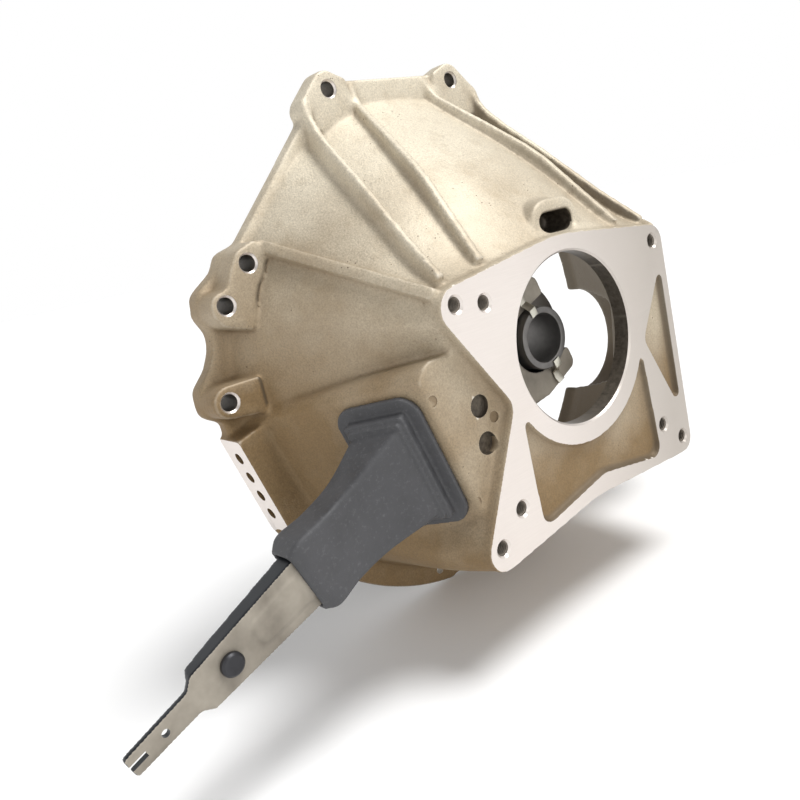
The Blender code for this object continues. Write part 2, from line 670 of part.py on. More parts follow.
def bearing_hub():
    profile = [(SLEEVE_R, 78), (HUB_R, 78), (HUB_R, 98.3), (43, 98.3), (43, HUB_FLANGE_X - 1),
               (42, HUB_FLANGE_X), (HUB_R, HUB_FLANGE_X), (HUB_R, HUB_END_X), (SLEEVE_R, HUB_END_X)]
    return turned("bearing_hub", profile, PARTS, ACROSS, 48)


def groove(side, steps=6):
    """Ball track in a ring: side -1 for the inner ring, +1 for the outer one."""
    radius = BALL_R + 0.2
    reach = math.acos(2.4 / radius)
    return [(BALL_PITCH_R + side * radius * math.cos(a), BALL_X + radius * math.sin(a))
            for a in np.linspace(-reach, reach, steps + 1)]


def bearing_inner_ring():
    bore = HUB_R + GAP
    shoulder = BALL_PITCH_R - 2.4
    profile = [(bore, 80), (shoulder, 80)] + groove(-1) + [(shoulder, 98), (bore, 98)]
    return turned("bearing_inner_ring", profile, PARTS, ACROSS, 40)


def bearing_outer_ring():
    """Turns with the clutch; its front face is the thrust face."""
    shoulder = BALL_PITCH_R + 2.4
    profile = [(39, THRUST_X + 1.5), (37, THRUST_X), (27.5, THRUST_X), (27.5, 79), (shoulder, 79.5)]
    profile += groove(1) + [(shoulder, 97), (39, 97)]
    return turned("bearing_outer_ring", profile, PARTS, ACROSS, 48)


def ball_cage():
    profile = [(30.1, 83), (31.9, 83), (31.9, 93), (30.1, 93)]
    cage = turned("ball_cage", profile, PARTS, ACROSS, 48)
    for index in range(BALLS):
        angle = 2 * math.pi * index / BALLS
        spot = Vector((BALL_X, BALL_PITCH_R * math.cos(angle), BALL_PITCH_R * math.sin(angle)))
        outward = Vector((0, math.cos(angle), math.sin(angle)))
        place = frame_matrix(spot, AXIS_X.cross(outward), AXIS_X * -1)
        cut(cage, rod(f"ball_window_{index}", (0, 0), BALL_R + 0.25, -3, 3, place, steps=12))
    return cage


def bearing_ball(index):
    angle = 2 * math.pi * index / BALLS
    bm = bmesh.new()
    bmesh.ops.create_icosphere(bm, subdivisions=2, radius=BALL_R * MM)
    spot = Vector((BALL_PITCH_R * math.cos(angle), BALL_PITCH_R * math.sin(angle), BALL_X))
    return from_bmesh(bm, f"bearing_ball_{index + 1:02d}", PARTS, ACROSS @ Matrix.Translation(spot))


def bearing_shield():
    profile = [(BALL_PITCH_R - 1.9, 94.4), (BALL_PITCH_R + 2.1, 94.4), (BALL_PITCH_R + 2.1, 95.4),
               (BALL_PITCH_R - 1.9, 95.4)]
    return turned("bearing_shield", profile, PARTS, ACROSS, 40)


def hub_clip(name, sign):
    """Spring strip on the hub's rear end that reaches out behind one tine of the fork."""
    line = [(19.4, 128.6), (25.4, 128.6), (30.2, 122.6), (36, 122.4), (40, 124.4)]
    outline = [(sign * w, x) for w, x in ribbon(line, 0.9)]
    return slab("hub_clip_" + name, outline, -3.4, 3.4, CLIP_PROFILE, PARTS)


# ---------------------------------------------------------------- the boot

NOSE_X = 112.3
LIP = 9.0


def window_ring(half_u, half_v, radius, lift):
    return [WINDOW @ Vector((u, v, lift)) for u, v in rounded_at(0, 0, half_u, half_v, radius)]


def nose_ring(half_u, half_v, radius, along):
    centre = FORK_OUT * along + AXIS_X * NOSE_X
    return [centre + AXIS_X * u - FORK_SIDE * v for u, v in rounded_at(0, 0, half_u, half_v, radius)]


def fork_boot():
    """Rubber boot: two lips that grip the window's edge, a stepped collar and the nose."""
    half_w, half_h = WINDOW_W / 2, WINDOW_H / 2
    boot = slab("fork_boot", rounded_at(0, 0, half_w + LIP, half_h + LIP, 14, 6), GAP, GAP + 4, WINDOW, PARTS)
    neck = slab("boot_neck", rounded_at(0, 0, half_w - 0.4, half_h - 0.4, 6.6), -WALL - 3, 2, WINDOW)
    inner_lip = slab("boot_inner_lip", rounded_at(0, 0, half_w + 3, half_h + 3, 10),
                     -WALL - GAP - 3.5, -WALL - GAP, WINDOW)
    collar = slab("boot_collar", rounded_at(0, 0, half_w, half_h, 3), 2, GAP + 11, WINDOW)
    nose = loft("boot_nose", [window_ring(19, 34.5, 3, 4), window_ring(18.6, 34, 3, GAP + 13),
                              nose_ring(13, 27, 3, 192), nose_ring(12.4, 25, 3, 218),
                              nose_ring(13.4, 26, 3, 238), nose_ring(11.4, 21.5, 3, 247)])
    hollow = loft("boot_hollow", [window_ring(18, 34.2, 3, -WALL - 8), window_ring(17, 33.4, 3, 0),
                                  nose_ring(9.8, 23.6, 2, 190), nose_ring(9.5, 21.4, 2, 220),
                                  nose_ring(9.3, 19, 2, 252)])
    join(boot, neck, inner_lip, collar, nose)
    cut(boot, hollow)
    return boot


# ---------------------------------------------------------------- materials and joints' empties

def finish(obj, colour, roughness, metallic, smooth=30):
    material = bpy.data.materials.get(colour[0])
    if material is None:
        material = bpy.data.materials.new(colour[0])
        material.use_nodes = True
        shader = material.node_tree.nodes["Principled BSDF"]
        shader.inputs["Base Color"].default_value = (*colour[1:], 1)
        shader.inputs["Roughness"].default_value = roughness
        shader.inputs["Metallic"].default_value = metallic
    obj.data.materials.clear()
    obj.data.materials.append(material)
    obj.data.shade_smooth()
    obj.data.set_sharp_from_angle(angle=math.radians(smooth))


CAST_ALUMINIUM = ("cast_aluminium", 0.56, 0.50, 0.41)
RUBBER = ("boot_rubber", 0.055, 0.055, 0.058)
FORK_STEEL = ("fork_steel", 0.33, 0.30, 0.25)
DARK_STEEL = ("dark_steel", 0.05, 0.05, 0.055)
PLATED_STEEL = ("plated_steel", 0.62, 0.60, 0.55)
BEARING_STEEL = ("bearing_steel", 0.70, 0.70, 0.72)
HUB_IRON = ("hub_iron", 0.20, 0.19, 0.19)
CAGE_BRASS = ("cage_brass", 0.62, 0.45, 0.20)


def hinge_empty(name, place, children):
    """An empty on a joint's axis that carries the pieces that move with it."""
    empty = bpy.data.objects.new(name, None)
    PARTS.objects.link(empty)
    empty.matrix_world = scaled(place)
    bpy.context.view_layer.update()
    for child in children:
        child.parent = empty
        child.matrix_parent_inverse = empty.matrix_world.inverted()
    return empty


def build():
    finish(bellhousing(), CAST_ALUMINIUM, 0.6, 0.8)
    finish(fork_boot(), RUBBER, 0.7, 0.0)
    finish(fork_pivot_bracket(), PLATED_STEEL, 0.45, 1.0)
    for name, sign in (("upper", -1), ("lower", 1)):
        for piece in bracket_fastener(name, sign):
            finish(piece, PLATED_STEEL, 0.4, 1.0)

    fork_pieces = [clutch_fork(), fork_spring(), pushrod_cup()]
    fork_pieces += [spring_rivet("fork_rivet_upper", -1), spring_rivet("fork_rivet_lower", 1)]
    for piece, colour in zip(fork_pieces, (FORK_STEEL, PLATED_STEEL, DARK_STEEL, PLATED_STEEL, PLATED_STEEL)):
        finish(piece, colour, 0.45, 1.0)
    hinge_empty("fork_pivot_axis", FORK_ACROSS @ Matrix.Translation((PIVOT_X, PIVOT_A, 0)), fork_pieces)

    hub, inner = bearing_hub(), bearing_inner_ring()
    clips = [hub_clip("upper", -1), hub_clip("lower", 1)]
    finish(hub, HUB_IRON, 0.6, 0.9)
    finish(inner, BEARING_STEEL, 0.2, 1.0)
    for clip in clips:
        finish(clip, PLATED_STEEL, 0.35, 1.0)
    outer, shield = bearing_outer_ring(), bearing_shield()
    finish(outer, BEARING_STEEL, 0.2, 1.0)
    finish(shield, DARK_STEEL, 0.5, 0.6)
    cage = ball_cage()
    finish(cage, CAGE_BRASS, 0.4, 1.0)
    balls = [bearing_ball(index) for index in range(BALLS)]
    for ball in balls:
        finish(ball, BEARING_STEEL, 0.1, 1.0)
    thrust_ring = hinge_empty("thrust_ring_axis", ACROSS, [outer, shield])
    rolling = hinge_empty("ball_cage_axis", ACROSS, [cage] + balls)
    hinge_empty("release_bearing_slide", ACROSS, [hub, inner] + clips + [thrust_ring, rolling])


clear_scene()
PARTS = collection("Clutch_bellhousing")
CUTTERS = collection("Cutters")
build()
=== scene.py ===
"""Looks of the clutch bellhousing assembly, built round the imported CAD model.

Shapes are laid out in millimetres in the CAD frame and turned into metres when they are made: origin on the
crankshaft axis at the engine face, +X towards the gearbox, +Z up.
"""

import math

import bmesh
import bpy
import numpy as np
from mathutils import Matrix, Vector


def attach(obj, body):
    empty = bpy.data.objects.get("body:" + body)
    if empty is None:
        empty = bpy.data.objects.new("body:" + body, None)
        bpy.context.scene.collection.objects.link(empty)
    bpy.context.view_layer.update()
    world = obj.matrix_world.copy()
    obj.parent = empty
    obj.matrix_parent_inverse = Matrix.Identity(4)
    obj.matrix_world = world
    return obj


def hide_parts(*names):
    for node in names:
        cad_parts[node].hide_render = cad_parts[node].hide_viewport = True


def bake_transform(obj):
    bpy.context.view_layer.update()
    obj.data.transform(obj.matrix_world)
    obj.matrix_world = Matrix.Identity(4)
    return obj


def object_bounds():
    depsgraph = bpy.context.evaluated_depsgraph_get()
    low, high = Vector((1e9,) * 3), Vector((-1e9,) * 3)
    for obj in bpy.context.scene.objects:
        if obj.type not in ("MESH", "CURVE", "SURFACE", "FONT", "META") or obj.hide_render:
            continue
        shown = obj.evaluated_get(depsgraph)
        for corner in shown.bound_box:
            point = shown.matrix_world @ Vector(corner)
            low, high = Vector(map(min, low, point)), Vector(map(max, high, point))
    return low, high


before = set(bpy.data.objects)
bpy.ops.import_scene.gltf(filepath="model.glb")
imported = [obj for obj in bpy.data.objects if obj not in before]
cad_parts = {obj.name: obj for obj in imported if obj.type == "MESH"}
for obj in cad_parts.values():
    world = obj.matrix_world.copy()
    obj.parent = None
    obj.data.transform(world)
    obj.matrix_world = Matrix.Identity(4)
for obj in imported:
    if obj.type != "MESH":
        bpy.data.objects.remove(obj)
CAD_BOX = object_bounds()

MM = 0.001

# Driving dimensions, as in the CAD
DEPTH = 158.75
BORE_R = 61.6
MOUTH_R = 185.0
RIM_R = 210.0
RIM_T = 6.4
FLANGE_T = 12.7
PLATE_T = 14.0
WALL = 7.0
ROUND_STEPS = 240
STOCK = 1.3                     # extra metal that the machined faces are cut from
GAP = 0.3

FORK_DROP = math.radians(20.4)
FORK_X = 121.0
SHEET = 3.0
PIVOT_A = 107.0
PIVOT_NOSE_R = 2.0
PIVOT_X = FORK_X + GAP + PIVOT_NOSE_R
CUP_A = 305.0
RIVET_A = 50.0
RIVET_W = 8.3
BOLT_A = 97.6
BOLT_W = 13.1
POCKET_X = 148.75
BOLT_END_X = POCKET_X - 4.9      # the bracket bolts stop short of the recesses outside
# (Y, Z) of the two blind recesses in the pocket's rear wall
POCKET_RECESSES = [(-95.9, -20.3), (-95.6, -45.8)]
POCKET_RECESS_R = 7.7

SLEEVE_R = 18.3
HUB_R = 23.5
BALLS = 12
BALL_R = 4.0
BALL_PITCH_R = 31.0
BALL_X = 88.0
THRUST_X = 76.0
HUB_FLANGE_X = 104.8
HUB_END_X = 127.7

AXIS_X = Vector((1, 0, 0))
ORIGIN = Vector((0, 0, 0))
FORK_OUT = Vector((0, -math.cos(FORK_DROP), -math.sin(FORK_DROP)))
FORK_SIDE = Vector((0, math.sin(FORK_DROP), -math.cos(FORK_DROP)))

WINDOW_CENTRE = Vector((113.75, -139.0, -47.5))
WINDOW_OUT = Vector((0.45, -1.0, -0.30)).normalized()
WINDOW_UP = WINDOW_OUT.cross(AXIS_X).normalized()
WINDOW_REAR = WINDOW_UP.cross(WINDOW_OUT).normalized()
WINDOW_W = 45.0
WINDOW_H = 80.0


# ---------------------------------------------------------------- outlines (2D points, no Blender)

def arc(centre, radius, start, end, steps):
    """Points on an arc, angles in degrees."""
    angles = np.radians(np.linspace(start, end, steps + 1))
    return [(centre[0] + radius * math.cos(a), centre[1] + radius * math.sin(a)) for a in angles]


def circle(centre, radius, steps=32):
    return arc(centre, radius, 0, 360, steps)[:-1]


def rounded(corners, steps=6):
    """A closed polygon whose corners (u, v, radius) are rounded off."""
    points = []
    for index, (u, v, radius) in enumerate(corners):
        corner = Vector((u, v))
        before = (Vector(corners[index - 1][:2]) - corner).normalized()
        after = (Vector(corners[(index + 1) % len(corners)][:2]) - corner).normalized()
        half = before.angle(after) / 2
        if radius <= 0 or half > math.radians(89):
            points.append((u, v))
            continue
        centre = corner + (before + after).normalized() * (radius / math.sin(half))
        first = corner + before * (radius / math.tan(half))
        last = corner + after * (radius / math.tan(half))
        a0 = math.atan2(first.y - centre.y, first.x - centre.x)
        turn = math.atan2(last.y - centre.y, last.x - centre.x) - a0
        turn = (turn + math.pi) % (2 * math.pi) - math.pi
        for step in range(steps + 1):
            a = a0 + turn * step / steps
            points.append((centre.x + radius * math.cos(a), centre.y + radius * math.sin(a)))
    return points


def rounded_at(centre_u, centre_v, half_u, half_v, radius, steps=4):
    """A rectangle with rounded corners."""
    return rounded([(centre_u + u * half_u, centre_v + v * half_v, radius)
                    for u, v in ((-1, -1), (1, -1), (1, 1), (-1, 1))], steps)


def hull(points):
    """Convex outline round 2D points, counter-clockwise."""
    points = sorted(set((round(u, 6), round(v, 6)) for u, v in points))
    chains = []
    for ordered in (points, points[::-1]):
        chain = []
        for p in ordered:
            while len(chain) > 1:
                (ax, ay), (bx, by) = chain[-2:]
                if (bx - ax) * (p[1] - ay) - (by - ay) * (p[0] - ax) > 1e-9:
                    break
                chain.pop()
            chain.append(p)
        chains.append(chain[:-1])
    return chains[0] + chains[1]


def mirrored(points):
    return [(-u, v) for u, v in points][::-1]


def radius_at(outline, angles):
    """Distance from the origin to a star-shaped outline in each direction (radians)."""
    dense = []
    for (u0, v0), (u1, v1) in zip(outline, outline[1:] + outline[:1]):
        count = max(2, int(math.hypot(u1 - u0, v1 - v0)))
        dense += [(u0 + (u1 - u0) * k / count, v0 + (v1 - v0) * k / count) for k in range(count)]
    dense = np.array(dense)
    around = np.arctan2(dense[:, 1], dense[:, 0])
    order = np.argsort(around)
    return np.interp(angles, around[order], np.hypot(*dense[order].T), period=2 * math.pi)


# Gearbox face: outline and recesses, in (Y, Z)
PLATE = rounded([
    (-131.8, 58.3, 15), (-75.2, -26.1, 12), (-134.1, -133.6, 15), (-8, -118.6, 150),
    (121, -128.5, 13), (121, 61, 14), (-3, 75.5, 180),
])
SIDE_RECESS = rounded([(112.3, 28.7, 3), (77.8, -22.8, 9), (106, -78.5, 2), (112.3, -78.5, 2)])
LOW_RECESS = rounded([(-68, -30, 3), (-67.3, -116.5, 8), (4, -103.8, 40), (75.6, -117.5, 8), (70.8, -30, 3)])
GEARBOX_HOLES = [(-107.3, 49.4), (107.3, 49.4), (-108.8, -113.4), (108.8, -113.4),
                 (-82.8, 44.9), (-85.2, -95.2), (85.2, -95.2)]
TAPPED_R = 5.0

RECESS = 5.0
EJECTOR_MARKS = [(-133.0, -5.0), (-85.5, -31.0), (-114.5, -80.0)]

# Engine flange: bolt bosses, in (Y, Z), with the height of their rear faces
TOP_BOLT = (62.8, 210.0)
SIDE_BOLTS = [(171.0, 99.0), (194.0, 75.0), (209.0, 13.0)]
ENGINE_HOLE_R = 5.8
TOP_BOSS_X = 18.0
SIDE_BOSS_X = 34.75
STARTER_CENTRE = (186.0, -50.0)
STARTER_R = 51.0
STARTER_X = 74.0
STARTER_HOLES = [(238, 14), (176, -124)]

# Cone: (direction in degrees, radius at the engine flange, bulge on the way back) down the left half;
# the right half mirrors it
CONE = [(90, 199, 9), (107, 200, 10), (116, 195, 11), (135.8, 190, 10), (150, 192, 3), (165, 194, 3),
        (180, 195, 3), (197, 192, 3), (215, 190, 3), (270, 190, 3)]
CONE_END_R = 124.0              # the plate's two upper corners stand out beyond this


def cone_radii(angles, share):
    """Outer radius of the cone, share 0 at the flange and 1 at the gearbox plate."""
    left = np.where(np.cos(angles) > 0, math.pi - angles, angles) % (2 * math.pi)
    directions, radii, bulges = np.array(CONE, float).T
    base = np.interp(np.degrees(left), directions, radii)
    bulge = np.interp(np.degrees(left), directions, bulges)
    reach = radius_at(PLATE, angles)
    reach = np.where(np.sin(angles) > 0, np.minimum(reach, CONE_END_R), reach)
    return base + (reach - base) * share + bulge * math.sin(math.pi * share ** 1.5)


def scaled(matrix):
    """The same placing with its position in millimetres turned into metres."""
    placed = matrix.copy()
    placed.translation = matrix.translation * MM
    return placed


def frame_matrix(origin, x_axis, y_axis):
    """Placing with given local X and Y directions; Z completes a right-handed set."""
    z_axis = x_axis.cross(y_axis)
    rows = Matrix((x_axis, y_axis, z_axis)).transposed().to_4x4()
    rows.translation = origin
    return rows


# Placings by what their local (x, y, z) stand for; a runs out along the fork line and w across it
ORIGIN = Vector((0, 0, 0))
ACROSS = frame_matrix(ORIGIN, Vector((0, 1, 0)), Vector((0, 0, 1)))     # (Y, Z, X)
FORK = frame_matrix(ORIGIN, FORK_OUT, FORK_SIDE)                        # (a, w, X)
FORK_PROFILE = frame_matrix(ORIGIN, FORK_OUT, AXIS_X)                   # (a, X, -w)
FORK_ACROSS = frame_matrix(ORIGIN, AXIS_X, FORK_OUT)                    # (X, a, w)
CLIP_PROFILE = frame_matrix(ORIGIN, FORK_SIDE, AXIS_X)                  # (w, X, a)
WINDOW = frame_matrix(WINDOW_CENTRE, WINDOW_REAR, WINDOW_UP)            # (rearward, upward, outward)


def link(mesh, name, matrix=None):
    obj = bpy.data.objects.new(name, mesh)
    bpy.context.scene.collection.objects.link(obj)
    if matrix is not None:
        obj.matrix_world = scaled(matrix)
    return obj


def from_bmesh(bm, name, matrix=None):
    bmesh.ops.recalc_face_normals(bm, faces=bm.faces)
    mesh = bpy.data.meshes.new(name)
    bm.to_mesh(mesh)
    bm.free()
    return link(mesh, name, matrix)


def slab(name, outline, low, high, matrix=ACROSS):
    """A flat outline with thickness, from local z = low to high: a filled 2D curve made into a mesh."""
    curve = bpy.data.curves.new(name, "CURVE")
    curve.dimensions = "2D"
    curve.fill_mode = "BOTH"
    curve.extrude = (high - low) / 2 * MM
    spline = curve.splines.new("POLY")
    spline.points.add(len(outline) - 1)
    for point, (u, v) in zip(spline.points, outline):
        point.co = (u * MM, v * MM, 0, 1)
    spline.use_cyclic_u = True
    guide = bpy.data.objects.new(name, curve)
    bpy.context.scene.collection.objects.link(guide)
    bpy.context.view_layer.update()
    mesh = bpy.data.meshes.new_from_object(guide.evaluated_get(bpy.context.evaluated_depsgraph_get()))
    bpy.data.objects.remove(guide, do_unlink=True)
    bm = bmesh.new()
    bm.from_mesh(mesh)
    bmesh.ops.remove_doubles(bm, verts=bm.verts, dist=1e-6)
    lift = Matrix.Translation((0, 0, (low + high) / 2))
    return from_bmesh(bm, name, matrix @ lift)


def loft(name, rings, matrix=None):
    """A solid through rings of equally many 3D points, closed at both ends."""
    bm = bmesh.new()
    loops = [[bm.verts.new(Vector(p) * MM) for p in ring] for ring in rings]
    for lower, upper in zip(loops, loops[1:]):
        for k in range(len(lower)):
            after = (k + 1) % len(lower)
            bm.faces.new((lower[k], lower[after], upper[after], upper[k]))
    bm.faces.new(loops[0][::-1])
    bm.faces.new(loops[-1])
    bmesh.ops.triangulate(bm, faces=[f for f in bm.faces if len(f.verts) == 4])
    return from_bmesh(bm, name, matrix)


def rod(name, centre, radius, low, high, matrix=ACROSS, steps=48, top_radius=None):
    """A cylinder or cone along local Z."""
    bm = bmesh.new()
    top = radius if top_radius is None else top_radius
    bmesh.ops.create_cone(bm, cap_ends=True, segments=steps, radius1=radius * MM, radius2=top * MM,
                          depth=(high - low) * MM)
    lift = Matrix.Translation((centre[0], centre[1], (low + high) / 2))
    return from_bmesh(bm, name, matrix @ lift)


def turned(name, profile, matrix=ACROSS, steps=96):
    """A ring or shaft turned about local Z from a closed (radius, height) profile."""
    bm = bmesh.new()
    corners = [bm.verts.new((r * MM, 0, z * MM)) for r, z in profile]
    for first, second in zip(corners, corners[1:] + corners[:1]):
        bm.edges.new((first, second))
    bmesh.ops.spin(bm, geom=bm.verts[:] + bm.edges[:], cent=(0, 0, 0), axis=(0, 0, 1),
                   angle=2 * math.pi, steps=steps, use_merge=True)
    bmesh.ops.remove_doubles(bm, verts=bm.verts, dist=1e-6)
    bmesh.ops.delete(bm, geom=[edge for edge in bm.edges if not edge.link_faces], context="EDGES")
    return from_bmesh(bm, name, matrix)


def ribbon(points, thickness):
    """Outline of a strip of even thickness that follows 2D points."""
    sides = ([], [])
    for index, point in enumerate(points):
        before = Vector(points[max(index - 1, 0)])
        after = Vector(points[min(index + 1, len(points) - 1)])
        along = (after - before).normalized()
        normal = Vector((-along.y, along.x)) * (thickness / 2)
        sides[0].append(tuple(Vector(point) + normal))
        sides[1].append(tuple(Vector(point) - normal))
    return sides[0] + sides[1][::-1]


def boolean(target, tool, operation):
    """The MANIFOLD solver keeps the housing closed where its many solids meet."""
    modifier = target.modifiers.new(tool.name, "BOOLEAN")
    modifier.operation = operation
    modifier.solver = "MANIFOLD"
    modifier.object = tool


def join(target, *tools):
    for tool in tools:
        boolean(target, tool, "UNION")


def cut(target, *tools):
    for tool in tools:
        boolean(target, tool, "DIFFERENCE")


def keep_inside(target, tool):
    boolean(target, tool, "INTERSECT")


# ---------------------------------------------------------------- the housing

def cone_ring(x, share, inset=0.0):
    angles = np.linspace(0, 2 * math.pi, ROUND_STEPS, endpoint=False)
    radii = cone_radii(angles, share) - inset
    if share == 0 and inset:
        radii = np.minimum(radii, MOUTH_R)
    return [(x, r * math.cos(a), r * math.sin(a)) for a, r in zip(angles, radii)]


def cone_share(x, start, end):
    return (x - start) / (end - start)


def overlap(index):
    """How far ahead of the engine face a piece starts: no two ends coincide before the face is cut."""
    return -2 - 0.37 * index


def housing_cone():
    """The main shell: its outside and the hollow for the clutch."""
    end = DEPTH - 6
    stations = [FLANGE_T + (end - FLANGE_T) * k / 12 for k in range(13)]
    rings = [cone_ring(overlap(0), 0)]
    rings += [cone_ring(x, cone_share(x, FLANGE_T, end)) for x in stations]
    outside = loft("cone_outside", rings)
    back = DEPTH - PLATE_T + 1.5
    rings = [cone_ring(-30, 0, WALL + 2), cone_ring(FLANGE_T, 0, WALL + 2)]
    for x in stations[1:-1] + [back]:
        rings.append(cone_ring(x, cone_share(x, FLANGE_T, end), WALL + 3))
    return outside, loft("clutch_space", rings)


def pocket_ring(x, inset):
    """Section of the fork pocket: its left side lies in the window's plane."""
    share = (x - 20) / (POCKET_X - 20)

    def wall_y(z):
        step = Vector((x, 0, z)) - WINDOW_CENTRE
        return WINDOW_CENTRE.y + (0.45 * step.x - 0.30 * step.z) + inset / 0.88

    top = 2 + 18 * share - inset
    low = -118 + 10 * share + inset
    shoulder = wall_y(top - 11)
    inner = -120 + 62 * share
    return [(x, inner, top), (x, shoulder + 22 - 10 * share, top), (x, shoulder + 6, top - 3),
            (x, shoulder, top - 11), (x, wall_y(-50), -50), (x, wall_y(low + 12), low + 12),
            (x, wall_y(low + 12) + 5, low), (x, inner, low + 6 * share - 6)]


def fork_pocket():
    outside = loft("pocket_outside", [pocket_ring(x, 0) for x in (16, 80, POCKET_X)])
    inside = loft("pocket_inside", [pocket_ring(x, WALL) for x in (24, 80, POCKET_X - WALL)])
    window = slab("window", rounded_at(0, 0, WINDOW_W / 2, WINDOW_H / 2, 7), -24, 12, WINDOW)
    return outside, inside, window


def bolt_face():
    """Raised face around the two upper side bolts, in (Y, Z) on the right."""
    return rounded([(155, 100, 2), (162, 114, 3), (178, 108, 9), (185, 97, 6), (190, 86, 5), (203, 83, 9),
                    (206, 72, 9), (199, 61, 8), (178, 54, 2), (169, 79, 20)])


def flange_ear():
    """Wavy edge that carries the side bolts, in (Y, Z) on the right."""
    return rounded([(150, 100, 2), (163, 113, 3), (179, 109, 10), (185, 98, 6), (204, 85, 10), (206, 70, 8),
                    (200, 58, 12), (201, 47, 14), (208, 34, 8), (220, 22, 9), (220, 4, 9), (207, -4, 6),
                    (185, -20, 2)])


def reflected(outline, sign):
    return outline if sign > 0 else mirrored(outline)


def engine_flange():
    """Upper flange with chords between its bosses, the thin lower rim and the raised side bosses."""
    top = [(-64, 216.5), (64, 216.5)]
    side = [(96, 182), (163, 113), (170, 108)] + arc((0, 0), 207, 28, -30, 8)
    shape = top + side + [(120, -60), (-120, -60)] + mirrored(side)
    pieces = [slab("flange_upper", shape, overlap(1), FLANGE_T)]
    pieces.append(slab("rim", arc((0, 0), RIM_R, 200, 340, 56), overlap(2), RIM_T))
    top_boss = hull(circle(TOP_BOLT, 14, 20) + [(89, 203), (91.5, 196), (84, 178), (45, 190), (44, 216.4)])
    low_bolt = hull(circle(SIDE_BOLTS[2], 11.5, 16) + [(184, 24), (184, -2)])
    for sign in (-1, 1):
        name = "left" if sign < 0 else "right"
        pieces.append(slab("flange_ear_" + name, reflected(flange_ear(), sign), overlap(4), FLANGE_T - 0.1))
        pieces.append(slab("top_boss_" + name, reflected(top_boss, sign), overlap(3), TOP_BOSS_X))
        pieces.append(slab("side_boss_" + name, reflected(bolt_face(), sign), overlap(5), SIDE_BOSS_X))
        pieces.append(slab("side_boss_low_" + name, reflected(low_bolt, sign), overlap(6), SIDE_BOSS_X))
    return pieces


PAD_ANGLE = math.radians(195.1)
PAD_DISTANCE = 205.6
PAD_HALF = 40.0
PAD = frame_matrix(ORIGIN, AXIS_X, Vector((0, math.sin(PAD_ANGLE), -math.cos(PAD_ANGLE))))


def box_outline(low_u, high_u, half_v):
    return [(low_u, -half_v), (high_u, -half_v), (high_u, half_v), (low_u, half_v)]


def side_pad():
    """Machined pad low on the left, with its tapped holes; local z points outwards."""
    block = slab("pad_block", box_outline(overlap(7), 30, PAD_HALF), PAD_DISTANCE - 26, PAD_DISTANCE + STOCK,
                 PAD)
    trim = slab("pad_trim", box_outline(-40, 31, PAD_HALF + 8), PAD_DISTANCE, PAD_DISTANCE + 12, PAD)
    holes = [rod(f"pad_hole_{k}", (15, along), 4.5, PAD_DISTANCE - 14, PAD_DISTANCE + 1, PAD, steps=32)
             for k, along in enumerate((-24, -8, 8, 24))]
    return block, trim, holes


def starter_pocket():
    """Bulge on the right for the starter motor's nose: a guess, as that side is hidden."""
    outside = rod("starter_outside", STARTER_CENTRE, STARTER_R + 7, overlap(8), STARTER_X, steps=40)
    dome = rod("starter_dome", STARTER_CENTRE, STARTER_R + 7.01, STARTER_X - 2, STARTER_X + 16, steps=40,
               top_radius=30)
    edge = circle(STARTER_CENTRE, STARTER_R + 12, 40)
    for spot in STARTER_HOLES:
        edge += circle(spot, 13, 12)
    lobe = slab("starter_lobe", hull(edge), overlap(9), FLANGE_T - 0.2)
    inside = rod("starter_inside", STARTER_CENTRE, STARTER_R, -30, STARTER_X - 3, steps=40)
    return [outside, dome, lobe], inside


PORT = (13.5, 82.0)
PORT_X = DEPTH - 12


def port_oval(half_width, half_height):
    reach = half_width - half_height
    return (arc((PORT[0] + reach, PORT[1]), half_height, -90, 90, 10)
            + arc((PORT[0] - reach, PORT[1]), half_height, 90, 270, 10))


def port_hood():
    """Oval port above the bore: the hood, its closed back inside the shell, and the pocket in it."""
    return (slab("port_hood", port_oval(26, 17), 88, PORT_X),
            slab("port_back", port_oval(23, 12), 116, 147),
            slab("port_hole", port_oval(18, 7.5), 121, PORT_X + 4))


def rib(name, start, end, outward, width, depth, crest):
    """A fin from start to end; crest holds (share of that line, height above it), depth is its sunk root."""
    start, end, outward = Vector(start), Vector(end), Vector(outward).normalized()
    along = end - start
    forward = along.normalized()
    outward = (outward - forward * outward.dot(forward)).normalized()
    line = [(along.length * share, lift) for share, lift in crest]
    outline = line + [(u, v - depth) for u, v in line[::-1]]
    return slab(name, outline, -width / 2, width / 2, frame_matrix(start, forward, outward))


def housing_ribs():
    up = (0, 0, 1)
    inner = [(0, 0), (0.05, -4.5), (0.09, -6), (0.15, -4.5), (0.34, 1), (0.53, 5.9), (0.63, 6.8), (0.74, 5),
             (1, 1.5)]
    outer = [(0, 0), (0.035, 2), (0.09, -4.5), (0.15, -7), (0.26, -7), (0.46, -4.5), (0.78, -3), (1, 0.5)]
    side_crest = [(0, 0), (0.3, 0.5), (0.6, 2), (1, 5)]
    ribs = []
    for sign, side in ((-1, "left"), (1, "right")):
        ribs.append(rib("rib_inner_" + side, (FLANGE_T, sign * 39, 215), (153, sign * 74, 71),
                        up, 7, 24, inner))
        ribs.append(rib("rib_outer_" + side, (FLANGE_T, sign * 86, 206), (153, sign * 108.5, 68),
                        up, 6.5, 28, outer))
        ribs.append(rib("rib_side_" + side, (30, sign * 161, 111), (153, sign * 116, 57),
                        (0, sign * 0.82, 0.57), 8.5, 20, side_crest))
    return ribs


def gearbox_plate():
    plate = slab("gearbox_plate", PLATE, DEPTH - PLATE_T, DEPTH + STOCK)
    bosses = [rod(f"gearbox_boss_{k}", spot, 11, DEPTH - 26, DEPTH - 4)
              for k, spot in enumerate(GEARBOX_HOLES)]
    return plate, bosses


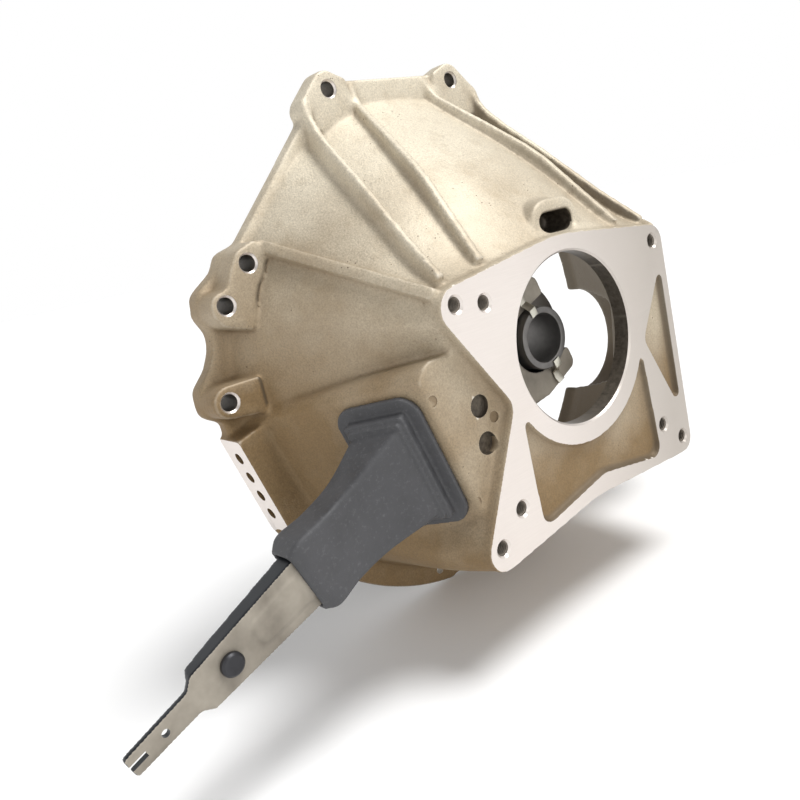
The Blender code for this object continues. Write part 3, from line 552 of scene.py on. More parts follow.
def cored_hollows():
    """Hollows that the mould leaves: the bore's core and the two recesses in the gearbox face."""
    floor = DEPTH - RECESS
    top = DEPTH + STOCK + 2
    low = slab("low_recess", LOW_RECESS, floor, top)
    cut(low, rod("low_recess_ring", (0, 0), 77, floor - 1, top + 1, steps=120))
    core = rod("bore_core", (0, 0), BORE_R - 2.5, DEPTH - 40, top, steps=120)
    notch = slab("drain_notch", [(-42, -220), (42, -220), (36, -204.5), (-36, -204.5)], -30, RIM_T + 1)
    return [slab("side_recess", SIDE_RECESS, floor, top), low, core, notch]


def rough_casting():
    """The housing as it leaves the mould, with stock on the faces that are machined later."""
    body, clutch_space = housing_cone()
    pocket_outside, pocket_inside, window = fork_pocket()
    starter_pieces, starter_inside = starter_pocket()
    pad_block, pad_trim, pad_holes = side_pad()
    hood, port_back, port_hole = port_hood()
    plate, bosses = gearbox_plate()
    join(body, pocket_outside, *engine_flange(), pad_block, *starter_pieces, hood, *housing_ribs())
    cut(body, clutch_space, pocket_inside, starter_inside)
    join(body, plate, port_back, *bosses)
    cut(body, window, port_hole, *cored_hollows(), slab("engine_stock", circle((0, 0), 320, 24), -40, -STOCK))
    freeze(body)
    return body, [pad_trim, *pad_holes]


def drill(name, spot, radius, deep, face, chamfer, matrix=ACROSS):
    """A drilled hole from a face down to deep, with a chamfered mouth and a drill point."""
    profile = [(0, deep - radius * 0.5), (radius, deep), (radius, face - chamfer), (radius + chamfer, face),
               (radius + chamfer, face + 3), (0, face + 3)]
    return turned(name, profile, matrix @ Matrix.Translation((spot[0], spot[1], 0)), 40)


def machining():
    """Cutters for everything that is milled, bored or drilled."""
    tools = [slab("gearbox_mill", circle((0, 0), 320, 24), DEPTH, DEPTH + 20),
             slab("engine_mill", circle((0, 0), 320, 24), -40, 0),
             turned("boring_bar", [(0, DEPTH - 40), (BORE_R, DEPTH - 40), (BORE_R, DEPTH - 1.4),
                                   (BORE_R + 1.4, DEPTH), (BORE_R + 1.4, DEPTH + 3),
                                   (0, DEPTH + 3)], ACROSS, 192)]
    for k, spot in enumerate(GEARBOX_HOLES):
        tools.append(drill(f"gearbox_drill_{k}", spot, TAPPED_R, DEPTH - 20, DEPTH, 1.5))
    for sign in (-1, 1):
        for index, (y, z) in enumerate([TOP_BOLT] + SIDE_BOLTS):
            face = (TOP_BOSS_X if index == 0 else SIDE_BOSS_X) - 0.5
            tools.append(drill(f"engine_drill_{sign}_{index}", (sign * y, z), ENGINE_HOLE_R, -12, face, 1.3))
    for index, angle in enumerate((-44.6, -75, -105, -135.4)):
        spot = (199 * math.cos(math.radians(angle)), 199 * math.sin(math.radians(angle)))
        tools.append(rod(f"rim_drill_{index}", spot, 3.4, -30, 10))
    for index, spot in enumerate(STARTER_HOLES):
        tools.append(rod(f"starter_drill_{index}", spot, 5.3, -30, 20))
    for index, sign in enumerate((-1, 1)):
        spot = (BOLT_A, sign * BOLT_W)
        tools.append(rod(f"bracket_drill_{index}", spot, 4.3, POCKET_X - 20, BOLT_END_X + 0.4, FORK))
    for index, spot in enumerate(POCKET_RECESSES):
        tools.append(rod(f"pocket_recess_{index}", spot, POCKET_RECESS_R, BOLT_END_X + 1.7, POCKET_X + 6))
    for index, spot in enumerate(EJECTOR_MARKS):
        tools.append(rod(f"ejector_mark_{index}", spot, 3.8, POCKET_X - 0.4, POCKET_X + 3))
    return tools


def machined_faces(mesh):
    """Material of each face, by where it lies and which way it looks: 0 cast, 1 machined, 2 in a hole, given
    a near-black brown as painted shade.
    """
    count = len(mesh.polygons)
    centre = np.empty(count * 3)
    normal = np.empty(count * 3)
    mesh.polygons.foreach_get("center", centre)
    mesh.polygons.foreach_get("normal", normal)
    x, y, z = centre.reshape(-1, 3).T / MM
    nx, ny, nz = normal.reshape(-1, 3).T
    cut_by = (abs(x - DEPTH) < 0.03) & (nx > 0.99)
    cut_by |= (abs(x) < 0.03) & (nx < -0.99)
    outward = np.array((math.cos(PAD_ANGLE), math.sin(PAD_ANGLE)))
    along = abs(z * outward[0] - y * outward[1])
    cut_by |= (abs(y * outward[0] + z * outward[1] - PAD_DISTANCE) < 0.03) & (x < 40) & (along < PAD_HALF + 1)
    around = np.hypot(y, z)
    cut_by |= (x > DEPTH - PLATE_T - 3) & (around > BORE_R - 0.4) & (around < BORE_R + 1.6)
    # Faces in the bore, the holes, the pocket recesses and the port get the dark material: painted shade.
    drilled = (x < DEPTH - 2) & (x > DEPTH - 45) & (around < BORE_R + 0.2)
    for spot in GEARBOX_HOLES:
        away = np.hypot(y - spot[0], z - spot[1])
        cut_by |= (away < TAPPED_R + 1.55) & (x > DEPTH - 24)
        drilled |= (away < TAPPED_R + 0.05) & (x > DEPTH - 24)
    for sign in (-1, 1):
        for spot in [TOP_BOLT] + SIDE_BOLTS:
            away = np.hypot(y - sign * spot[0], z - spot[1])
            cut_by |= away < ENGINE_HOLE_R + 1.35
            drilled |= away < ENGINE_HOLE_R + 0.05
    for spot in POCKET_RECESSES:
        away = np.hypot(y - spot[0], z - spot[1])
        drilled |= (away < POCKET_RECESS_R + 0.05) & (x > BOLT_END_X + 1.6) & (x < POCKET_X - 0.4)
    drilled |= (abs(y - PORT[0]) < 18.1) & (abs(z - PORT[1]) < 7.6) & (x < PORT_X - 1.5) & (x > 120)
    return np.where(drilled, 2, cut_by).astype(np.int32)


def bellhousing(cast, machined, drilled):
    body, pad_tools = rough_casting()
    soften(body, 1.5, 18)
    freeze(body)
    cut(body, *machining(), *pad_tools)
    freeze(body)
    body.name = "housing_casting"
    faces = machined_faces(body.data)
    dress(body, cast, "housing", "bellhousing", smooth=35)
    body.data.materials.append(machined)
    body.data.materials.append(drilled)
    body.data.polygons.foreach_set("material_index", faces)


def thread(bm, place, radius, low, high, pitch=1.5):
    """A helical ridge inside a tapped hole, added to bm."""
    steps = 22
    turns = (high - low) / pitch
    rings = []
    for k in range(int(turns * steps) + 1):
        angle = 2 * math.pi * k / steps
        lift = low + pitch * k / steps
        ring = [(radius + 0.25, lift - 0.62), (radius - 0.75, lift), (radius + 0.25, lift + 0.62)]
        rings.append([bm.verts.new(place @ Vector((r * math.cos(angle), r * math.sin(angle), z)) * MM)
                      for r, z in ring])
    for lower, upper in zip(rings, rings[1:]):
        for k in range(3):
            after = (k + 1) % 3
            bm.faces.new((lower[k], lower[after], upper[after], upper[k]))
    bm.faces.new(rings[0][::-1])
    bm.faces.new(rings[-1])


def tapped_threads(drilled):
    bm = bmesh.new()
    for spot in GEARBOX_HOLES:
        thread(bm, ACROSS @ Matrix.Translation((spot[0], spot[1], 0)), TAPPED_R, DEPTH - 19, DEPTH - 2.2)
    piece = from_bmesh(bm, "tapped_threads")
    # The threads get the same dark material: painted shade.
    dress(piece, drilled, "housing", smooth=80)


# ---------------------------------------------------------------- the fork and its pivot

def clutch_fork(web, flange):
    side = [(-24, 41, 6), (14, 43, 12), (40, 37, 20), (66, 30, 30), (107, 29, 30), (150, 26.5, 60),
            (200, 21, 60), (250, 17.5, 60), (300, 14.5, 60), (325, 13, 3), (331, 7.5, 3), (372, 6.5, 2)]
    back = [(a, -w, r) for a, w, r in side[::-1]]
    half = HUB_R + 0.9
    mouth = [(-24, -half, 3), (27, -half, half - 0.01), (27, half, half - 0.01), (-24, half, 3)]
    fork = slab("clutch_fork_pressing", rounded(side + back + mouth, 12), 100, FORK_X, FORK)
    front = [(-26, 110), (-7, 109.2), (-3.4, 106.2), (-1.5, 105.4), (1.5, 105.4), (3.4, 106.2), (7, 109.2),
             (44, 108.4), (64, 104.5), (107, 103), (190, 103), (250, 106), (310, 109), (323, 110.5),
             (327, 116.8), (376, 116.8)]
    rear = [(376, FORK_X + 2), (-26, FORK_X + 2)]
    keep_inside(fork, slab("fork_depth", front + rear, -60, 60, FORK_PROFILE))
    hollow = [(44, 28), (66, 26.8), (107, 25.8), (150, 23.4), (200, 17.9), (250, 14.4), (300, 11.4),
              (319, 10.4)]
    other_side = [(a, -w) for a, w in hollow[::-1]]
    cut(fork, slab("fork_hollow", hollow + other_side, 90, FORK_X - SHEET, FORK))
    for sign in (-1, 1):
        tine = [(-18, 28.2), (8, 28.2), (24, 32.5), (30, 35), (12, 39.6), (-18, 37.6)]
        cut(fork, slab(f"tine_hollow_{sign}", [(a, sign * w) for a, w in tine], 90, FORK_X - SHEET, FORK))
    panel = rounded([(126, 17, 6), (205, 12.5, 40), (286, 8, 5), (286, -8, 5), (205, -12.5, 40),
                     (126, -17, 6)], 8)
    join(fork, slab("fork_panel", panel, FORK_X - 1, FORK_X + 0.9, FORK))
    cut(fork, rod("pivot_groove", (FORK_X + 2.1, PIVOT_A), 2.9, -20, 20, FORK_ACROSS))
    freeze(fork)
    soften(fork, 0.9, 3)
    freeze(fork)
    for sign in (-1, 1):
        cut(fork, rod(f"rivet_hole_{sign}", (RIVET_A, sign * RIVET_W), 1.8, 110, 130, FORK),
            rod(f"mouth_hole_{sign}", (36, sign * 33), 1.9, 112, 130, FORK))
    cut(fork, rod("cup_hole", (CUP_A, 0), 4.3, 110, 130, FORK),
        rod("tip_hole", (350, 0), 2.3, 110, 130, FORK),
        slab("tip_slot", [(362, -1.7), (380, -1.7), (380, 1.7), (362, 1.7)], 110, 130, FORK),
        rod("flange_hole", (111, 108), 3, -40, -20, FORK_ACROSS))
    freeze(fork)
    dress(fork, flange, "fork", "clutch_fork")
    fork.data.materials.append(web)
    # Faces that look towards +X, the rear of the web, get the web colour; all other faces, the flanges
    # included, get the near-black material: painted shade.
    normals = np.empty(len(fork.data.polygons) * 3)
    fork.data.polygons.foreach_get("normal", normals)
    fork.data.polygons.foreach_set("material_index", (normals[::3] > 0.55).astype(np.int32))


def fork_fittings(plated, dark):
    line = [(RIVET_A - 9, 121.9), (60, 121.9), (84, 121.9), (90, 123.0), (99, 127.4), (102.2, 128.6),
            (102.4, 131.5)]
    spring = slab("fork_spring_clip", ribbon(line, 1.2), -5, 5, FORK_PROFILE)
    join(spring, slab("spring_pad", rounded_at(RIVET_A + 1, 0, 12, 12.5, 4, 8),
                      FORK_X + GAP, FORK_X + GAP + 1.2, FORK))
    freeze(spring)
    bevel(spring, 0.35)
    dress(spring, plated, "fork", "fork_spring")
    front, rear = FORK_X - SHEET - GAP, FORK_X + GAP + 1.2 + GAP
    head = [(0, rear + 1.6), (1.4, rear + 1.5), (2.5, rear + 1.0), (3.1, rear)]
    profile = [(0, front - 1.6), (1.4, front - 1.5), (2.5, front - 1.0), (3.1, front), (1.5, front),
               (1.5, rear)]
    for name, sign in (("upper", -1), ("lower", 1)):
        place = FORK @ Matrix.Translation((RIVET_A, sign * RIVET_W, 0))
        rivet = turned("rivet_" + name, profile + head[::-1], place, 32)
        dress(rivet, plated, "fork", "fork_rivet_" + name)
    front, rear = FORK_X - SHEET - GAP, FORK_X + GAP
    profile = rounded([(0, front - 4.2, 0), (2.6, front - 5.0, 1), (4.4, front - 7.0, 1),
                       (5.0, front - 8.2, 0.3), (7.2, front - 8.2, 0.5), (8.0, front - 7.4, 0.5),
                       (8.0, front, 0.8), (4.0, front, 0), (4.0, rear, 0), (7.0, rear, 0.3),
                       (7.0, rear + 2.2, 1.2), (5.4, rear + 3.8, 1.5), (0, rear + 4.4, 0)], 4)
    cup = turned("pushrod_seat", profile, FORK @ Matrix.Translation((CUP_A, 0, 0)), 64)
    dress(cup, dark, "fork", "pushrod_cup")


def pivot_bracket(plated, dark):
    high = POCKET_X - WALL - GAP
    foot = slab("pivot_bracket_pressing", rounded_at(98.5, 0, 10.5, 21, 4, 8), high - 4, high, FORK)
    nose = arc((PIVOT_A, PIVOT_X), PIVOT_NOSE_R, 180, 360, 16)
    upright = [(PIVOT_A - PIVOT_NOSE_R, high - 1)] + nose + [(PIVOT_A + PIVOT_NOSE_R, high - 1)]
    join(foot, slab("bracket_upright", upright, -17, 17, FORK_PROFILE))
    for sign in (-1, 1):
        cut(foot, rod(f"bracket_hole_{sign}", (BOLT_A, sign * BOLT_W), 4.4, 130, 145, FORK))
    freeze(foot)
    bevel(foot, 0.5)
    dress(foot, plated, "housing", "fork_pivot_bracket")
    for name, sign in (("upper", -1), ("lower", 1)):
        place = FORK @ Matrix.Translation((BOLT_A, sign * BOLT_W, 0))
        top = high - 4
        section = rounded([(4.2, top - 1.9, 0.2), (7.1, top - 1.9, 0.4), (7.1, top - GAP, 0.2),
                           (4.2, top - GAP, 0.2)], 3)
        washer = turned("washer_" + name, section, place, 48)
        dress(washer, plated, "housing", "bracket_washer_" + name)
        head = top - 1.9 - GAP
        bolt = rod("bolt_" + name, (0, 0), 6.9, head - 5.2, head, place, steps=6)
        chamfer = [(0, head - 5.2), (5.7, head - 5.2), (7.0, head - 4.3), (7.0, head + 1), (0, head + 1)]
        keep_inside(bolt, turned("bolt_chamfer_" + name, chamfer, place, 48))
        join(bolt, rod("bolt_shank_" + name, (0, 0), 3.9, head - 1, BOLT_END_X, place))
        freeze(bolt)
        dress(bolt, dark, "housing", "bracket_bolt_" + name)


# ---------------------------------------------------------------- the release bearing

def groove(side, steps=12):
    """Ball track in a ring: side -1 for the inner ring, +1 for the outer one."""
    radius = BALL_R + 0.2
    reach = math.degrees(math.acos(2.4 / radius))
    return [(BALL_PITCH_R + side * radius * math.cos(math.radians(a)),
             BALL_X + radius * math.sin(math.radians(a)), 0) for a in np.linspace(-reach, reach, steps + 1)]


def ring(name, corners, material, body, slot, node):
    piece = turned(name, rounded(corners, 4), ACROSS, 128)
    dress(piece, material, body, node)


def release_bearing(iron, ground, brass, dark, plated):
    hub = [(SLEEVE_R, 78, 0.8), (HUB_R, 78, 0.6), (HUB_R, 98.3, 0.5), (43, 98.3, 0.8),
           (43, HUB_FLANGE_X - 1, 0.3), (42, HUB_FLANGE_X, 0.3), (HUB_R, HUB_FLANGE_X, 1.2),
           (HUB_R, HUB_END_X, 0.8), (SLEEVE_R, HUB_END_X, 0.8)]
    ring("bearing_carrier", hub, iron, "release_bearing", "hub_iron", "bearing_hub")
    low, high = BALL_PITCH_R - 2.4, BALL_PITCH_R + 2.4
    inner = [(HUB_R + GAP, 80, 0.5), (low, 80, 0.5)] + groove(-1) + [(low, 98, 0.5), (HUB_R + GAP, 98, 0.5)]
    ring("inner_race", inner, ground, "release_bearing", "bearing_steel", "bearing_inner_ring")
    outer = [(39, THRUST_X + 1.5, 0.8), (37, THRUST_X, 0.8), (27.5, THRUST_X, 0.8), (27.5, 79, 0.5),
             (high, 79.5, 0.5)]
    outer += groove(1) + [(high, 97, 0.5), (39, 97, 0.8)]
    ring("outer_race", outer, ground, "thrust_ring", "bearing_steel", "bearing_outer_ring")
    shield = [(BALL_PITCH_R - 1.9, 94.4, 0.2), (BALL_PITCH_R + 2.1, 94.4, 0.2),
              (BALL_PITCH_R + 2.1, 95.4, 0.2), (BALL_PITCH_R - 1.9, 95.4, 0.2)]
    ring("race_shield", shield, dark, "thrust_ring", "dark_steel", "bearing_shield")
    cage = turned("race_cage", [(30.1, 83), (31.9, 83), (31.9, 93), (30.1, 93)], ACROSS, 96)
    for index in range(BALLS):
        angle = 2 * math.pi * index / BALLS
        outward = Vector((0, math.cos(angle), math.sin(angle)))
        spot = outward * BALL_PITCH_R + AXIS_X * BALL_X
        place = frame_matrix(spot, AXIS_X.cross(outward), AXIS_X * -1)
        cut(cage, rod(f"ball_window_{index}", (0, 0), BALL_R + 0.25, -3, 3, place, steps=32))
        bm = bmesh.new()
        bmesh.ops.create_icosphere(bm, subdivisions=4, radius=BALL_R * MM)
        ball = from_bmesh(bm, f"steel_ball_{index + 1:02d}", Matrix.Translation(spot))
        dress(ball, ground, "ball_set", f"bearing_ball_{index + 1:02d}")
    freeze(cage)
    dress(cage, brass, "ball_set", "ball_cage")
    line = [(19.4, 128.6), (25.4, 128.6), (30.2, 122.6), (36, 122.4), (40, 124.4)]
    for name, sign in (("upper", -1), ("lower", 1)):
        outline = [(sign * w, x) for w, x in ribbon(line, 0.9)]
        clip = slab("spring_clip_" + name, outline, -3.4, 3.4, CLIP_PROFILE)
        bevel(clip, 0.25)
        dress(clip, plated, "release_bearing", "hub_clip_" + name)


# ---------------------------------------------------------------- the boot

NOSE_X = 112.3
LIP = 9.0


def window_ring(half_u, half_v, radius, lift):
    return [WINDOW @ Vector((u, v, lift)) for u, v in rounded_at(0, 0, half_u, half_v, radius, 10)]


def nose_ring(half_u, half_v, radius, along):
    centre = FORK_OUT * along + AXIS_X * NOSE_X
    return [centre + AXIS_X * u - FORK_SIDE * v for u, v in rounded_at(0, 0, half_u, half_v, radius, 10)]


def smooth_loft(name, rings, spans=8):
    """A loft whose rings are joined by smooth curves through them."""
    points = np.array([[tuple(p) for p in ring] for ring in rings])
    points = np.concatenate([2 * points[:1] - points[1:2], points, 2 * points[-1:] - points[-2:-1]])
    made = [points[1]]
    for k in range(1, len(points) - 2):
        p0, p1, p2, p3 = points[k - 1:k + 3]
        for step in range(1, spans + 1):
            t = step / spans
            made.append(0.5 * (2 * p1 + (p2 - p0) * t + (2 * p0 - 5 * p1 + 4 * p2 - p3) * t ** 2
                               + (3 * p1 - p0 - 3 * p2 + p3) * t ** 3))
    return loft(name, made)


def fork_boot(rubber):
    half_w, half_h = WINDOW_W / 2, WINDOW_H / 2
    boot = slab("rubber_boot", rounded_at(0, 0, half_w + LIP, half_h + LIP, 14, 16), GAP, GAP + 4, WINDOW)
    neck = slab("boot_neck", rounded_at(0, 0, half_w - 0.6, half_h - 0.6, 6.4, 12), -WALL - 3, 2, WINDOW)
    lip = slab("boot_inner_lip", rounded_at(0, 0, half_w + 3, half_h + 3, 10, 12),
               -WALL - GAP - 3.5, -WALL - GAP, WINDOW)
    collar = slab("boot_collar", rounded_at(0, 0, half_w, half_h, 3, 6), 2, GAP + 11, WINDOW)
    undercut = slab("boot_undercut", rounded_at(0, 0, half_w - 2.5, half_h - 2.5, 3, 6),
                    GAP + 4, GAP + 14, WINDOW)
    nose = smooth_loft("boot_nose", [window_ring(19, 34.5, 3, 4), window_ring(18.6, 34, 3, GAP + 13),
                                     nose_ring(13, 27, 3, 192), nose_ring(12.4, 25, 3, 218),
                                     nose_ring(13.4, 26, 3, 238), nose_ring(11.4, 21.5, 3, 247)])
    hollow = smooth_loft("boot_hollow", [window_ring(18, 34.2, 3, -WALL - 8), window_ring(17, 33.4, 3, 0),
                                         nose_ring(9.8, 23.6, 2, 190), nose_ring(9.5, 21.4, 2, 220),
                                         nose_ring(9.3, 19, 2, 252)])
    join(boot, neck, lip, collar, undercut, nose)
    cut(boot, hollow)
    freeze(boot)
    soften(boot, 1.0, 2)
    freeze(boot)
    dress(boot, rubber, None, "fork_boot", smooth=50)
    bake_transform(boot)


# ---------------------------------------------------------------- making, rounding and dressing pieces

def freeze(obj):
    """Make the modifiers' result the object's own mesh, in place, and remove the tools that they used."""
    bpy.context.view_layer.update()
    mesh = bpy.data.meshes.new_from_object(obj.evaluated_get(bpy.context.evaluated_depsgraph_get()))
    tools = [modifier.object for modifier in obj.modifiers if modifier.type == "BOOLEAN"]
    obj.modifiers.clear()
    mesh.transform(obj.matrix_world)
    obj.data = mesh
    obj.matrix_world = Matrix.Identity(4)
    while tools:
        tool = tools.pop()
        tools += [modifier.object for modifier in tool.modifiers if modifier.type == "BOOLEAN"]
        bpy.data.objects.remove(tool, do_unlink=True)


def soften(obj, voxel, passes):
    """Round every edge and corner the way a mould or a press leaves them."""
    grid = obj.modifiers.new("grid", "REMESH")
    grid.mode = "VOXEL"
    grid.voxel_size = voxel * MM
    smooth = obj.modifiers.new("smooth", "SMOOTH")
    smooth.factor = 0.5
    smooth.iterations = passes


def bevel(obj, width, steps=2):
    modifier = obj.modifiers.new("bevel", "BEVEL")
    modifier.width = width * MM
    modifier.segments = steps
    modifier.limit_method = "ANGLE"
    modifier.angle_limit = math.radians(35)
    freeze(obj)


def dress(obj, material, body, node=None, smooth=35):
    """Give a finished piece its material and its body, and hide the CAD part that it stands for."""
    obj.data.materials.clear()
    obj.data.materials.append(material)
    obj.data.shade_smooth()
    obj.data.set_sharp_from_angle(angle=math.radians(smooth))
    if body:
        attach(obj, body)
    if node:
        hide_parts(node)


# ---------------------------------------------------------------- materials

class Paint:
    """A Principled material and short ways to add texture nodes to it; positions are in metres."""

    def __init__(self, name, roughness, metallic):
        self.material = bpy.data.materials.new(name)
        self.material.use_nodes = True
        self.tree = self.material.node_tree
        self.shader = self.tree.nodes["Principled BSDF"]
        self.shader.inputs["Roughness"].default_value = roughness
        self.shader.inputs["Metallic"].default_value = metallic
        self.place = self.tree.nodes.new("ShaderNodeTexCoord").outputs["Object"]

    def wire(self, socket, value):
        if isinstance(value, bpy.types.NodeSocket):
            self.tree.links.new(value, socket)
        else:
            socket.default_value = (*value, 1) if isinstance(value, tuple) and len(value) == 3 else value

    def noise(self, scale, detail=3.0, rough=0.5, stretch=None):
        node = self.tree.nodes.new("ShaderNodeTexNoise")
        node.inputs["Scale"].default_value = scale
        node.inputs["Detail"].default_value = detail
        node.inputs["Roughness"].default_value = rough
        place = self.place
        if stretch:
            mapping = self.tree.nodes.new("ShaderNodeMapping")
            mapping.inputs["Scale"].default_value = stretch
            self.wire(mapping.inputs["Vector"], self.place)
            place = mapping.outputs["Vector"]
        self.wire(node.inputs["Vector"], place)
        return node.outputs["Fac"]

    def spots(self, scale):
        node = self.tree.nodes.new("ShaderNodeTexVoronoi")
        node.inputs["Scale"].default_value = scale
        self.wire(node.inputs["Vector"], self.place)
        return node.outputs["Distance"]

    def part(self, axis):
        node = self.tree.nodes.new("ShaderNodeSeparateXYZ")
        self.wire(node.inputs[0], self.place)
        return node.outputs[axis]

    def inwards(self):
        """How far the surface looks towards the X axis: its distance, in metres, times its normal's turn."""
        across = self.tree.nodes.new("ShaderNodeVectorMath")
        across.operation = "MULTIPLY"
        across.inputs[1].default_value = (0, -1, -1)
        self.wire(across.inputs[0], self.place)
        facing = self.tree.nodes.new("ShaderNodeVectorMath")
        facing.operation = "DOT_PRODUCT"
        self.wire(facing.inputs[0], across.outputs["Vector"])
        self.wire(facing.inputs[1], self.tree.nodes.new("ShaderNodeNewGeometry").outputs["Normal"])
        return facing.outputs["Value"]

    def edges(self):
        return self.tree.nodes.new("ShaderNodeNewGeometry").outputs["Pointiness"]

    def ranged(self, value, low, high, first=0.0, last=1.0):
        node = self.tree.nodes.new("ShaderNodeMapRange")
        for name, number in zip(("From Min", "From Max", "To Min", "To Max"), (low, high, first, last)):
            node.inputs[name].default_value = number
        self.wire(node.inputs["Value"], value)
        return node.outputs["Result"]

    def math(self, operation, first, second):
        node = self.tree.nodes.new("ShaderNodeMath")
        node.operation = operation
        self.wire(node.inputs[0], first)
        self.wire(node.inputs[1], second)
        return node.outputs[0]

    def mix(self, share, first, second, blend="MIX"):
        node = self.tree.nodes.new("ShaderNodeMix")
        node.data_type = "RGBA"
        node.blend_type = blend
        self.wire(node.inputs[0], share)
        self.wire(node.inputs[6], first)
        self.wire(node.inputs[7], second)
        return node.outputs[2]

    def bump(self, height, strength, distance, below=None):
        node = self.tree.nodes.new("ShaderNodeBump")
        node.inputs["Strength"].default_value = strength
        node.inputs["Distance"].default_value = distance
        self.wire(node.inputs["Height"], height)
        if below is not None:
            self.wire(node.inputs["Normal"], below)
        return node.outputs["Normal"]

    def finish(self, colour, normal=None, roughness=None):
        self.wire(self.shader.inputs["Base Color"], colour)
        if normal is not None:
            self.wire(self.shader.inputs["Normal"], normal)
        if roughness is not None:
            self.wire(self.shader.inputs["Roughness"], roughness)
        return self.material


def cast_aluminium():
    """Sand-cast skin with stains, grain and pits. Painted light and shade: warm grey and lighter towards the
    top, browner and darker low down and on the far left, painted shade inside the bell and in concave
    creases; paler on sharp edges.
    """
    paint = Paint("cast_aluminium_skin", 0.6, 0.45)
    # Painted light and shade: the skin turns from dark brown low down to light warm grey towards the top.
    height = paint.ranged(paint.part(2), -0.12, 0.16)
    blotch = paint.noise(14, 4)
    tone = paint.math("ADD", height, paint.ranged(blotch, 0.3, 0.7, -0.22, 0.22))
    # Painted shade: darker still on the far left (-Y) side, which looks away from the light.
    tone = paint.math("ADD", tone, paint.ranged(paint.part(1), -0.18, -0.115, -0.5, 0.0))
    colour = paint.mix(tone, (0.26, 0.174, 0.085), (0.715, 0.645, 0.515))
    stain = paint.ranged(paint.noise(45, 5, 0.6), 0.52, 0.75)
    colour = paint.mix(paint.math("MULTIPLY", stain, 0.35), colour, (0.36, 0.27, 0.16))
    grain = paint.noise(850, 2, 0.65)
    colour = paint.mix(0.42, colour, paint.ranged(grain, 0.3, 0.7, 0.35, 1.15), "MULTIPLY")
    # Painted shade: surfaces that face the X axis, inside the bell, turn dark brown.
    colour = paint.mix(paint.ranged(paint.inwards(), 0.02, 0.07, 0.0, 0.75), colour, (0.10, 0.082, 0.060))
    point = paint.edges()
    # Painted shade: darker brown in concave creases and corners.
    colour = paint.mix(paint.ranged(point, 0.50, 0.44, 0.0, 0.75), colour, (0.17, 0.115, 0.06))
    colour = paint.mix(paint.ranged(point, 0.525, 0.60, 0.0, 0.8), colour, (0.80, 0.75, 0.66))
    pits = paint.ranged(paint.spots(240), 0.16, 0.08)
    rare = paint.ranged(paint.noise(30, 2), 0.60, 0.66)
    pits = paint.math("MULTIPLY", pits, rare)
    colour = paint.mix(pits, colour, (0.10, 0.07, 0.045))
    normal = paint.bump(grain, 0.5, 0.0004)
    normal = paint.bump(paint.noise(260, 3), 0.25, 0.0012, normal)
    normal = paint.bump(pits, -0.6, 0.0006, normal)
    return paint.finish(colour, normal, paint.ranged(grain, 0.3, 0.7, 0.52, 0.68))


def machined_aluminium():
    """Milled faces: pale, slightly pink, with fine tool lines."""
    paint = Paint("machined_aluminium", 0.36, 0.85)
    lines = paint.noise(60, 2, 0.5, (1, 1, 40))
    colour = paint.mix(paint.noise(10, 3), (0.74, 0.675, 0.625), (0.82, 0.76, 0.715))
    # Painted shade: the milled face turns darker towards the right (+Y).
    colour = paint.mix(paint.ranged(paint.part(1), -0.05, 0.10, 0.0, 0.9), colour, (0.46, 0.42, 0.375))
    colour = paint.mix(paint.ranged(lines, 0.3, 0.7, 0.0, 0.14), colour, (0.58, 0.52, 0.48))
    normal = paint.bump(lines, 0.10, 0.0005)
    normal = paint.bump(paint.noise(900, 2), 0.08, 0.0003, normal)
    return paint.finish(colour, normal, paint.ranged(paint.noise(25, 3), 0.3, 0.7, 0.30, 0.42))


def boot_rubber():
    paint = Paint("moulded_rubber", 0.6, 0.0)
    tone = paint.noise(60, 4, 0.6)
    colour = paint.mix(tone, (0.030, 0.030, 0.032), (0.075, 0.075, 0.080))
    dust = paint.ranged(paint.noise(380, 5, 0.7), 0.55, 0.75, 0.0, 0.35)
    colour = paint.mix(dust, colour, (0.17, 0.17, 0.175))
    colour = paint.mix(paint.ranged(paint.edges(), 0.53, 0.62, 0.0, 0.5), colour, (0.15, 0.15, 0.155))
    normal = paint.bump(paint.noise(700, 3), 0.25, 0.0004)
    normal = paint.bump(tone, 0.2, 0.002, normal)
    return paint.finish(colour, normal, paint.ranged(tone, 0.3, 0.7, 0.48, 0.68))


def worn_metal(name, dark, light, roughness, metallic, scale=35, grain=700):
    """Steel, iron or brass with cloudy colour, fine grain and brighter edges."""
    paint = Paint(name, roughness, metallic)
    cloud = paint.noise(scale, 4, 0.6)
    colour = paint.mix(paint.ranged(cloud, 0.3, 0.7), dark, light)
    bright = tuple(min(1.0, c * 1.5 + 0.05) for c in light)
    colour = paint.mix(paint.ranged(paint.edges(), 0.53, 0.62, 0.0, 0.6), colour, bright)
    normal = paint.bump(paint.noise(grain, 3), 0.12, 0.0003)
    return paint.finish(colour, normal, paint.ranged(cloud, 0.3, 0.7, roughness - 0.06, roughness + 0.08))


# ---------------------------------------------------------------- camera, floor and light

EYE = (0.51325, -0.4212, 0.1091)                # metres
YAW, PITCH, ROLL = map(math.radians, (39.4685, 11.2615, -12.0607))
LENS = 38.06                    # millimetres, before the view is widened to take in the fork
WIDENED = 0.92


